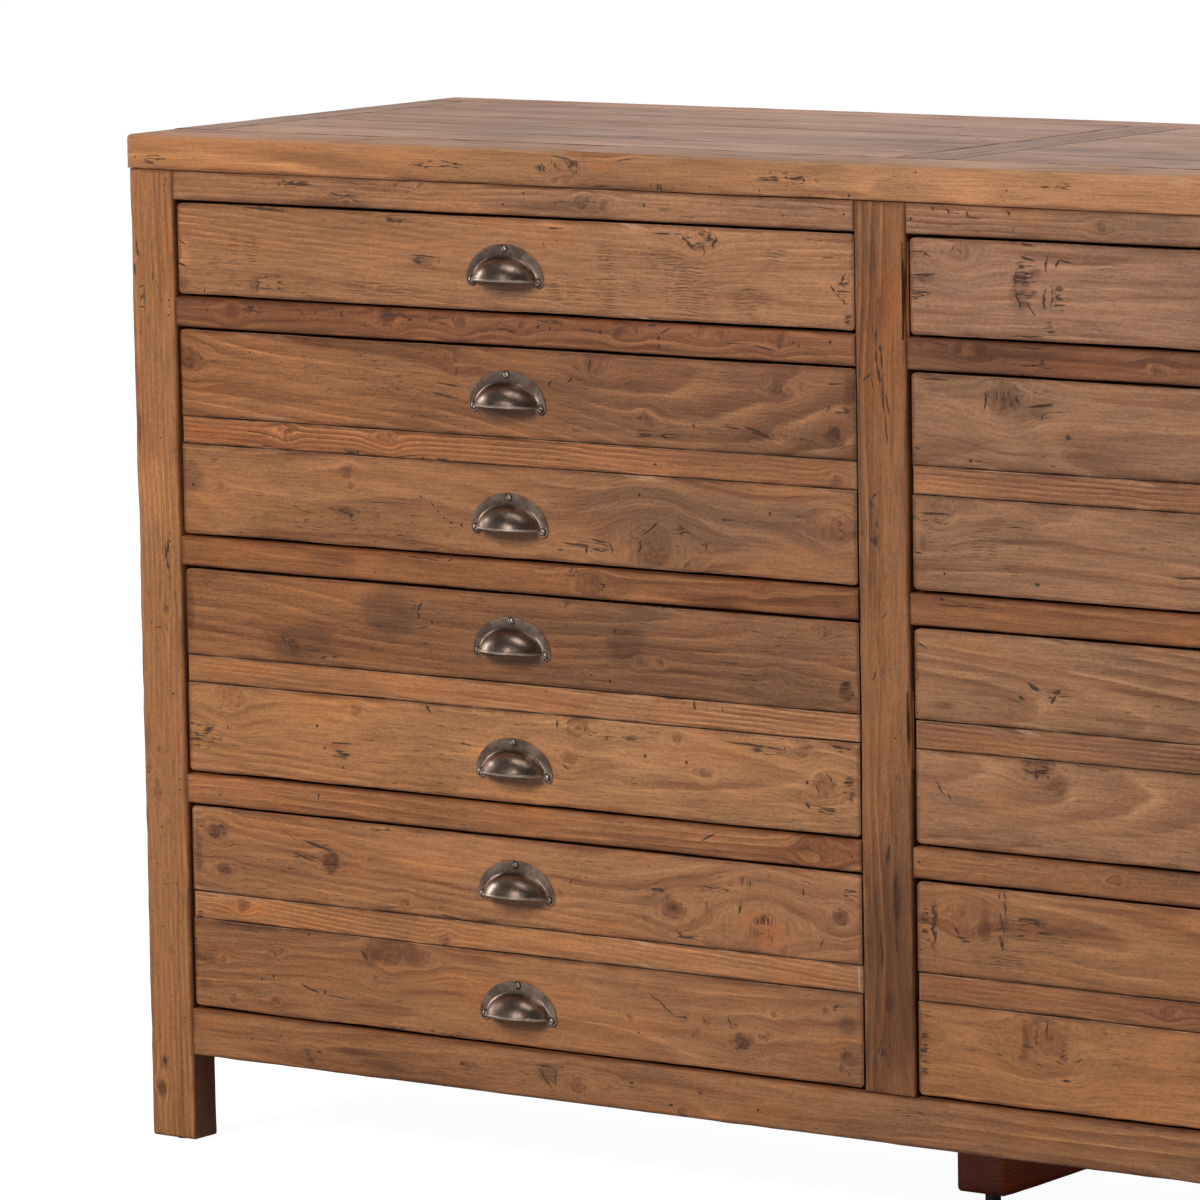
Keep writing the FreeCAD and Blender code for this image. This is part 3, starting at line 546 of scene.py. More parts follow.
for side, hand in (("left", -1), ("right", 1)):
    inner, outer = sorted((hand * POST_FACE, hand * CASE_HALF))
    low, high = (inner, FACE, POST_FOOT), (outer, POST_BACK, CASE_TOP)
    marks = POST_MARKS if hand < 0 else scatter(31, (60, 840), (940, 885), 3, 4, 4)
    finish = pine(f"{side}_post_pine", "Z", (0.209, 0.089, 0.034), 3 + hand, low, high, marks,
                  (0.09, -0.05), 0.0062, 0.03, 0.5)
    fit(board(f"{side}_front_post", low, high, "z", finish, "+z", 0.0028, 0.0012, seed=2 + hand),
        "pine_case", "front_posts")

low, high = (-STILE_HALF, FACE, SILL["four"]), (STILE_HALF, POST_BACK, CASE_TOP)
finish = pine("stile_pine", "Z", (0.158, 0.062, 0.021), 7, low, high, """
stain 850 0 160 70 orange,250 0 260 70 dark,877 -13 157 27 grey,362 2 24 9 dark,316 10 53 8 dark,223 1 21 12 dirty;
crack 843 -5 15 3.2 -3,826 -5 17 2.6 -3,809 -2 24 3.5 -10,785 2 28 2.9 -8,759 5 27 2.2 -6,832 0 6 3.2 -21,
822 1 20 2.2 -2,800 2 26 1.6 -4,781 7 22 2.2 -11,807 -15 14 2.6 60,798 -9 19 1.6 -16,697 -8 8 2.9 53,
688 -13 14 2.2 -8,586 1 7 1.6 54,530 -11 13 2.2 26,530 -2 10 1.6 20,362 2 23 4.2 12,335 10 30 3.2 1,311 11 22 4.2 -5,
271 -7 49 2.9 -2,281 10 22 2.1 -5;saw 666 -12 60 16;torn 665 -10 56 13,221 0 23 12,172 -10 38 34;pin 472 11 1.2,
394 -5 1""",
              (0.02, -0.08), 0.0050, 0.02, 0.7)
fit(board("middle_stile_post", low, high, "z", finish, "+z-z", 0.0026, 0.0012, seed=5,
          chips=[(0.885, 0.060, 0.0045), (0.482, 0.036, 0.0036)]), "pine_case", "middle_stile")

RAIL_MARKS = {
    "left_top": """
torn -688 960 74 8,-615 951 61 6,-560 959 41 13,-242 954 28 7;crack -622 951 34 1.2 0,-358 955 28 1 2,
-327 956 20 1 -6,-216 946 29 0.8 0,-60 960 34 0.8 -7;knot -620 946 3.3 .8,-529 964 3.2 .5,-339 955 5.3 1,
-312 953 4.2 .5;stain -640 943 159 8 dark,-364 949 141 11 dirty;pin -431 950 1.6,-406 961 1.6,-370 953 1.2,
-266 955 1.8,-107 951 1.2,-39 955 1.4""",
    "right_top": """
crack 60 964 6 3 -59,75 962 8 2.4 -49,98 960 8 3.6 -66,105 957 12 1.8 -7,141 963 8 3.2 -56,43 947 7 1 -51,
147 948 9 1.2 50,420 950 120 1.4 0;pin 35 954 1.8,610 955 2.4;torn 89 962 26 9;knot 240 954 4 .6""",
    "left_one": """
knot -764 835 6.7 .3,-575 835 7.6 .95,-486 836 6.5 .8,-410 839 5.3 .6,-295 835 5.3 .7,-276 837 3.2 .5,
-204 841 6.3 .3,-179 837 4.2 .3,-114 834 5.2 .9;torn -742 835 37 16,-710 841 30 10,-594 830 24 12,-533 837 48 10,
-509 836 24 8,-380 840 59 6,-431 831 36 10;crack -739 836 15 1.8 50,-677 836 9 1.8 -50,-660 836 8 1.6 -70,
-628 836 8 2.4 -70,-560 838 36 1.4 0,-334 834 26 1.6 -2,-259 842 14 3.2 0,-244 838 15 1.6 30,-164 830 34 1 1,
-130 827 27 1.8 -8;pin -640 842 1.6,-682 839 1.4,-392 835 2.2,-378 834 1.6,-319 833 2.2,-251 831 2,-251 823 2,
-98 834 1.4,-91 831 1.4,-56 836 2.2,-798 840 1.4,-795 833 1.2""",
    "left_two": """
stain -649 596 74 16 dirty,-220 589 92 9 dark;crack -545 605 73 1.2 -3,-503 605 7 1.8 30,-358 605 6 1.8 80,
-351 605 6 1.8 -70;knot -337 593 9.6 .4,-136 603 3.6 .3;pin -320 592 1.8""",
    "left_three": """
crack -670 362 7 1.8 85,-203 361 24 1.8 30;pin -793 354 1.2,-39 357 1.4;knot -91 359 6.2 .95,-71 360 9.4 .15""",
    "right_one": """
knot 109 837 7 .8,88 836 3 .5,300 829 5 .6,520 831 4 .7;torn 71 839 66 7,174 826 47 9;pin 155 816 2;
crack 164 841 32 1.4 0""",
    "right_two": "pin 65 605 2;crack 84 600 66 1.2 0;knot 410 592 5 .5,690 594 4 .6",
    "right_three": "pin 36 358 1.6;knot 188 369 2 .5,250 360 5 .6,720 356 6 .5;crack 480 358 60 1.6 2",
}
RAIL_TONES = {"one": (0.159, 0.060, 0.023), "two": (0.177, 0.067, 0.023), "three": (0.198, 0.079, 0.029)}
for side, hand in (("left", -1), ("right", 1)):
    ends = (-POST_FACE, -STILE_HALF) if hand < 0 else (STILE_HALF, POST_FACE)
    low, high = (ends[0], FACE, TOP_RAIL_LOW), (ends[1], POST_BACK, CASE_TOP)
    finish = pine(f"{side}_top_rail_pine", "X", (0.221, 0.103, 0.049), 11 + hand, low, high,
                  RAIL_MARKS[f"{side}_top"], (0.1, -0.03), 0.006, 0.03, 0.6)
    fit(board(f"{side}_top_rail", low, high, "x", finish, "+x-x+z", 0.002, seed=8 + hand),
        "pine_case", "top_front_rails")
    for number, word in enumerate(("one", "two", "three")):
        low, high = (ends[0], FACE, SILL[word] - RAIL_HEIGHT), (ends[1], POST_BACK, SILL[word])
        finish = pine(f"{side}_rail_{word}_pine", "X", RAIL_TONES[word], 14 + 3 * number + hand, low, high,
                      RAIL_MARKS[f"{side}_{word}"], (0.03 - 0.04 * number, -0.05), 0.0075, 0.05, 0.7)
        fit(board(f"{side}_rail_{word}", low, high, "x", finish, "+x-x", 0.0022, 0.0011, seed=11 + 3 * number + hand),
            "pine_case", "drawer_rails")

low, high = (-POST_FACE, FACE, BOTTOM_RAIL[0]), (POST_FACE, POST_BACK, BOTTOM_RAIL[1])
finish = pine("bottom_rail_pine", "X", (0.175, 0.074, 0.029), 27, low, high, """
crack -760 113 11 1.2 60,-677 108 10 2.2 0,-400 110 32 2 -50,-387 112 22 1.6 88,-399 122 26 1.6 0,-298 116 6 2.6 0,
-217 114 7 2.4 0,-251 99 6 2.6 0,430 116 80 1.6 1;knot -692 106 3.4 .7,-688 97 3.4 .6,-360 108 6 .95,-329 111 4.3 .2,
-237 93 4.3 .8,640 108 5 .6;stain -638 112 65 8 dark,-601 104 64 6 dirty,-490 114 24 7 dirty,-396 115 26 20 dirty;
pin -500 114 2.2,-150 105 1.8;torn -237 93 16 8""",
              (-0.02, -0.07), 0.008, 0.06, 0.6)
fit(board("bottom_front_rail_board", low, high, "x", finish, "+x-x", 0.0026, 0.0012, seed=23),
    "pine_case", "bottom_front_rail")

# ---------------------------------------------------------------------------------------------
# The sides and the back: pine rails tenoned between the posts round thin panels that float in
# grooves, so the wood can move. The back is the plainer, less finished face.
# ---------------------------------------------------------------------------------------------
REAR = 0.2755
REAR_POST_FACE = 0.2395
BACK_FRAME = (0.2475, 0.2695)
SIDE_OUT, SIDE_IN = 0.8843, 0.8623
RAIL_SPANS = {"upper": (0.9086, CASE_TOP), "lower": BOTTOM_RAIL}
for side, hand in (("left", -1), ("right", 1)):
    inner, outer = sorted((hand * POST_FACE, hand * CASE_HALF))
    low, high = (inner, REAR_POST_FACE, POST_FOOT), (outer, REAR, CASE_TOP)
    marks = scatter(40 + hand, (60, low[0] * 1000 + 8), (940, high[0] * 1000 - 8), 4, 5, 4)
    finish = pine(f"{side}_back_post_pine", "Z", (0.28, 0.122, 0.056), 33 + hand, low, high, marks,
                  (0.08, 0.05), 0.006, 0.03, 0.55)
    fit(board(f"{side}_back_post", low, high, "z", finish, "+z", 0.0028, 0.0012, seed=26 + hand),
        "pine_case", "back_posts")
    across = sorted((hand * SIDE_IN, hand * SIDE_OUT))
    for level, (bottom, top) in RAIL_SPANS.items():
        low, high = (across[0], POST_BACK, bottom), (across[1], REAR_POST_FACE, top)
        marks = scatter(50 + hand + bottom * 10, (-200, bottom * 1000 + 8), (220, top * 1000 - 8), 2, 2, 4)
        finish = pine(f"{side}_{level}_side_rail_pine", "Y", (0.285, 0.124, 0.057), 37 + hand + len(level), low, high,
                      marks, (0.04, 0.06 * hand), 0.007, 0.04, 0.6)
        seams = "+y-y+z" if level == "upper" else "+y-y"
        fit(board(f"{side}_{level}_side_rail", low, high, "y", finish, seams, 0.002, seed=30 + bottom),
            "pine_case", "side_rails")

for level, (bottom, top) in RAIL_SPANS.items():
    low, high = (-POST_FACE, BACK_FRAME[0], bottom), (POST_FACE, BACK_FRAME[1], top)
    marks = scatter(60 + bottom * 10, (-800, bottom * 1000 + 8), (800, top * 1000 - 8), 6, 5, 5)
    finish = pine(f"{level}_back_rail_pine", "X", (0.27, 0.122, 0.058), 45 + bottom, low, high, marks,
                  (0.03, 0.05), 0.008, 0.06, 0.6)
    seams = "+x-x+z" if level == "upper" else "+x-x"
    fit(board(f"{level}_back_rail", low, high, "x", finish, seams, 0.002, seed=36 + bottom),
        "pine_case", "back_rails")
low = (-STILE_HALF, BACK_FRAME[0], SILL["four"])
high = (STILE_HALF, BACK_FRAME[1], RAIL_SPANS["upper"][0])
finish = pine("back_muntin_pine", "Z", (0.26, 0.117, 0.056), 49, low, high,
              scatter(70, (170, -22), (870, 22), 4, 3, 4), (0.05, 0.06), 0.006, 0.03, 0.6)
fit(board("back_muntin_board", low, high, "z", finish, "+z-z", 0.002, seed=39), "pine_case", "back_muntin")


def dress(node, material):
    """Gives a CAD node's own mesh a finish."""
    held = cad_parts[node]
    held.data.materials.clear()
    held.data.materials.append(material)


def plain(node, name, run, tone, seed, low, high, marks, pith, pitch, sway, contrast=0.5):
    """Gives a CAD node a pine finish with no darkened outline, neither dirt nor painted shade, along its edges."""
    dress(node, pine(name, run, tone, seed, low, high, marks, pith, pitch, sway, contrast, 0.0))


plain("side_panels", "side_panel_pine", "Y", (0.29, 0.128, 0.059), 52, (-0.9, -0.23, 0.12), (0.9, 0.25, 0.92),
      "knot -40 620 11 .6,120 380 9 .5,-120 260 7 .7,170 800 8 .5;crack 60 500 80 2 1,-90 760 60 2 -2",
      (0.02, 0.9), 0.009, 0.09, 0.6)
plain("back_panels", "back_panel_pine", "X", (0.30, 0.145, 0.075), 55, (-0.85, 0.25, 0.12), (0.85, 0.26, 0.92),
      scatter(81, (-800, 180), (800, 880), 12, 8, 8), (0.05, 0.12), 0.011, 0.12, 0.55)

# ---------------------------------------------------------------------------------------------
# Inside the case: a partition, a floor and the runners, guides and kickers that carry the drawers,
# all bare pine that was only planed, glued and screwed where it is not seen.
# ---------------------------------------------------------------------------------------------
BARE = (0.40, 0.235, 0.125)
plain("partition", "partition_pine", "Y", BARE, 60, (-0.01, -0.22, 0.11), (0.01, 0.24, 0.97),
      "knot -60 500 10 .5,100 700 8 .5", (0.1, 0.1), 0.009, 0.08)
plain("floor_panel", "floor_pine", "top", BARE, 61, (-0.87, -0.23, 0.1), (0.87, 0.25, 0.113),
      scatter(84, (-800, -150), (800, 200), 6, 2, 8), (0.05, -0.1), 0.011, 0.1)
runner_pine = pine("runner_pine", "Y", BARE, 62, (-0.9, -0.22, 0.1), (0.9, 0.25, 0.97), "", (0.1, 0.2), 0.008, 0.03,
                   0.55, 0.0)
dress("drawer_runners", runner_pine)
dress("drawer_guides", runner_pine)

# ---------------------------------------------------------------------------------------------
# Under the case: a pine bearer that carries the middle, sawn off square in front so that its end
# grain shows, and turned feet: hard nylon glides under the posts, levelling feet in the bearer.
# ---------------------------------------------------------------------------------------------
low, high = (-0.0275, -0.1055, 0.0135), (0.0275, 0.2475, 0.1005)
finish = pine("bearer_pine", "Y", (0.386, 0.065, 0.004), 64, low, high, "crack 40 60 80 2 1;knot 120 50 6 .6",
              (0.05, 0.012), 0.0042, 0.012, 0.9, 0.004)
fit(board("bearer_board", low, high, "y", finish, "+y+z", 0.0045, 0.0012, seed=41), "pine_case", "centre_bearer")

nylon, tree = blank("glide_nylon")
scuff = grainy(tree, put(tree, "TexCoord").outputs["Object"], (140, 140, 140), 4.0)
dusty = tint(tree, ramp(tree, scuff, 0.42, 0.64), (0.030, 0.027, 0.025, 1), (0.085, 0.076, 0.068, 1))
skin = put(tree, "BsdfPrincipled", {"Base Color": dusty, "Roughness": ramp(tree, scuff, 0.3, 0.7, 0.42, 0.68)})
put(tree, "OutputMaterial", {"Surface": skin.outputs[0]})
dress("foot_glides", nylon)

# ---------------------------------------------------------------------------------------------
# The top: a panel of narrow boards between wide edging boards, glued up and laid on the case. It is
# sanded, stained and waxed like the front, with open cracks at the joints and rows of old dents.
# ---------------------------------------------------------------------------------------------
TOP_HALF = 0.8923
TOP_FRONT, TOP_FIELD, TOP_REAR_FIELD = -0.2575, -0.1825, 0.2225
TOP_LEVEL = 1.0026
EDGE_DEPTH = TOP_LEVEL - CASE_TOP
FIELD_END, CROSS_HALF = 0.8403, 0.0315
FIELD_BOARDS = 5
low, high = (-TOP_HALF, TOP_FRONT, CASE_TOP), (TOP_HALF, TOP_FIELD, TOP_LEVEL)
unfolded = (-TOP_HALF, TOP_FRONT - EDGE_DEPTH, CASE_TOP)
finish = pine("front_edging_pine", "edge", (0.256, 0.113, 0.046), 70, unfolded, high, """
crack -134 -200.5 38 4 2,-505 -210.5 40 4 -3,520 -210.5 60 3 2,-380 -272 12 1.2 -42,-366 -272 13 1.2 -45,
-354 -268 11 1.2 -30,-255 -286 7 1.4 89,-232 -286 6 1.4 -79,-314 -289 26 1.8 2,201 -272 16 1.1 -14,
-359 -262 33 2.2 -4,-323 -262 44 2 2,-284 -259 37 1.6 6;knot -620 -221.5 8 .6,240 -216.5 9 .6,-369 -285 3.2 .35,
-357 -284 4.2 .35;ripple -376 -273 31 13,-344 -272 26 15,-243 -287 21 6;stain -315 -271 35 13 orange;
torn -98 -275 79 15,193 -271 36 9,-855 -282 38 10,-504 -275 72 10;pin -82 -275 1.8,-32 -287 1.8,-102 -273 1.1,
-189 -285 1.1,-120 -269 1,-132 -286 1,-880 -280 1.1,42 -263 1.4,141 -277 1.2""",
              (0.02, -0.05), 0.008, 0.05, 0.55, 0.005, "+y", arris=0.25)
EDGE_CHIPS = [(-0.323, 0.060, 0.0060), (-0.255, 0.03, 0.0022), (-0.62, 0.02, 0.0015), (0.35, 0.04, 0.003)]
front_edging = board("top_front_edging", low, high, "x", finish, "+y-z", 0.0045, 0.0009, chips=EDGE_CHIPS, seed=43,
                     pitch=0.011)
fit(front_edging, "pine_top", "top_long_boards")
low, high = (-TOP_HALF, TOP_REAR_FIELD, CASE_TOP), (TOP_HALF, REAR, TOP_LEVEL)
finish = pine("back_edging_pine", "top", (0.29, 0.132, 0.066), 71, low, high,
              scatter(91, (-850, 226), (850, 265), 6, 8, 6), (0.03, -0.05), 0.008, 0.05, 0.55, 0.005, "-y")
fit(board("top_back_edging", low, high, "x", finish, "-y-z", 0.003, 0.0007, seed=47), "pine_top", "top_long_boards")

CROSS = {
    "left_end": (-TOP_HALF, -FIELD_END, "-y+y+x-z",
                 "knot 203.5 -862 8 .8,-23.5 -865 8 .8;crack 93.5 -868 60 3 4,-116.5 -850 50 3 -3"),
    "centre": (-CROSS_HALF, CROSS_HALF, "-y+y+x-x-z",
               "crack 22.5 -23 34 4 -2,-106.5 10 60 3 2;knot 29.5 -23 10 .8,153.5 12 6 .6"),
    "right_end": (FIELD_END, TOP_HALF, "-y+y-x-z",
                  "knot 123.5 868 8 .7,-146.5 870 7 .7;crack -76.5 862 60 3 3"),
}
for number, (place, (start, end, seams, marks)) in enumerate(CROSS.items()):
    low, high = (start, TOP_FIELD, CASE_TOP), (end, TOP_REAR_FIELD, TOP_LEVEL)
    finish = pine(f"top_{place}_pine", "cross", (0.238, 0.117, 0.065), 73 + number, low, high, marks,
                  (0.02, -0.06), 0.008, 0.04, 0.6, 0.006, seams[:-2], 0.0024)
    fit(board(f"top_{place}_board", low, high, "y", finish, seams, 0.003, 0.0007, seed=50 + number),
        "pine_top", "top_cross_boards")

FIELD_TONES = [(0.264, 0.132, 0.074), (0.238, 0.118, 0.066), (0.273, 0.140, 0.078), (0.251, 0.125, 0.070),
               (0.264, 0.134, 0.076)]
FIELD_DENTS = {2: ";pin -80 30.5 3.4,-62 15.5 3.4", 3: ";pin -133 76.5 3.4,-115 61.5 3.4,-97 46.5 3.4",
               4: ";pin -185 122.5 3.4,-168 107.5 3.4,-150 91.5 3.4"}
for side, hand in (("left", -1), ("right", 1)):
    ends = sorted((hand * CROSS_HALF, hand * FIELD_END))
    for i in range(FIELD_BOARDS):
        edges = [TOP_FIELD + k / FIELD_BOARDS * (TOP_REAR_FIELD - TOP_FIELD) for k in (i, i + 1)]
        low, high = (ends[0], edges[0], CASE_TOP), (ends[1], edges[1], TOP_LEVEL)
        marks = scatter(100 + i + 7 * hand, (ends[0] * 1000 + 30, edges[0] * 1000 + 10),
                        (ends[1] * 1000 - 30, edges[1] * 1000 - 10), 3, 3, 6)
        if hand < 0:
            marks += FIELD_DENTS.get(i, "")
        finish = pine(f"{side}_field_{i}_pine", "top", FIELD_TONES[i], 80 + 2 * i + hand, low, high, marks,
                      (0.06 * ((i * 7) % 5 - 2) / 2, -0.05), 0.008, 0.06, 0.55, 0.004, "+x-x+y-y")
        fit(board(f"{side}_field_board_{i}", low, high, "x", finish, "+x-x+y-y-z", 0.001, 0.0006, seed=55 + i),
            "pine_top", "top_field_boards")

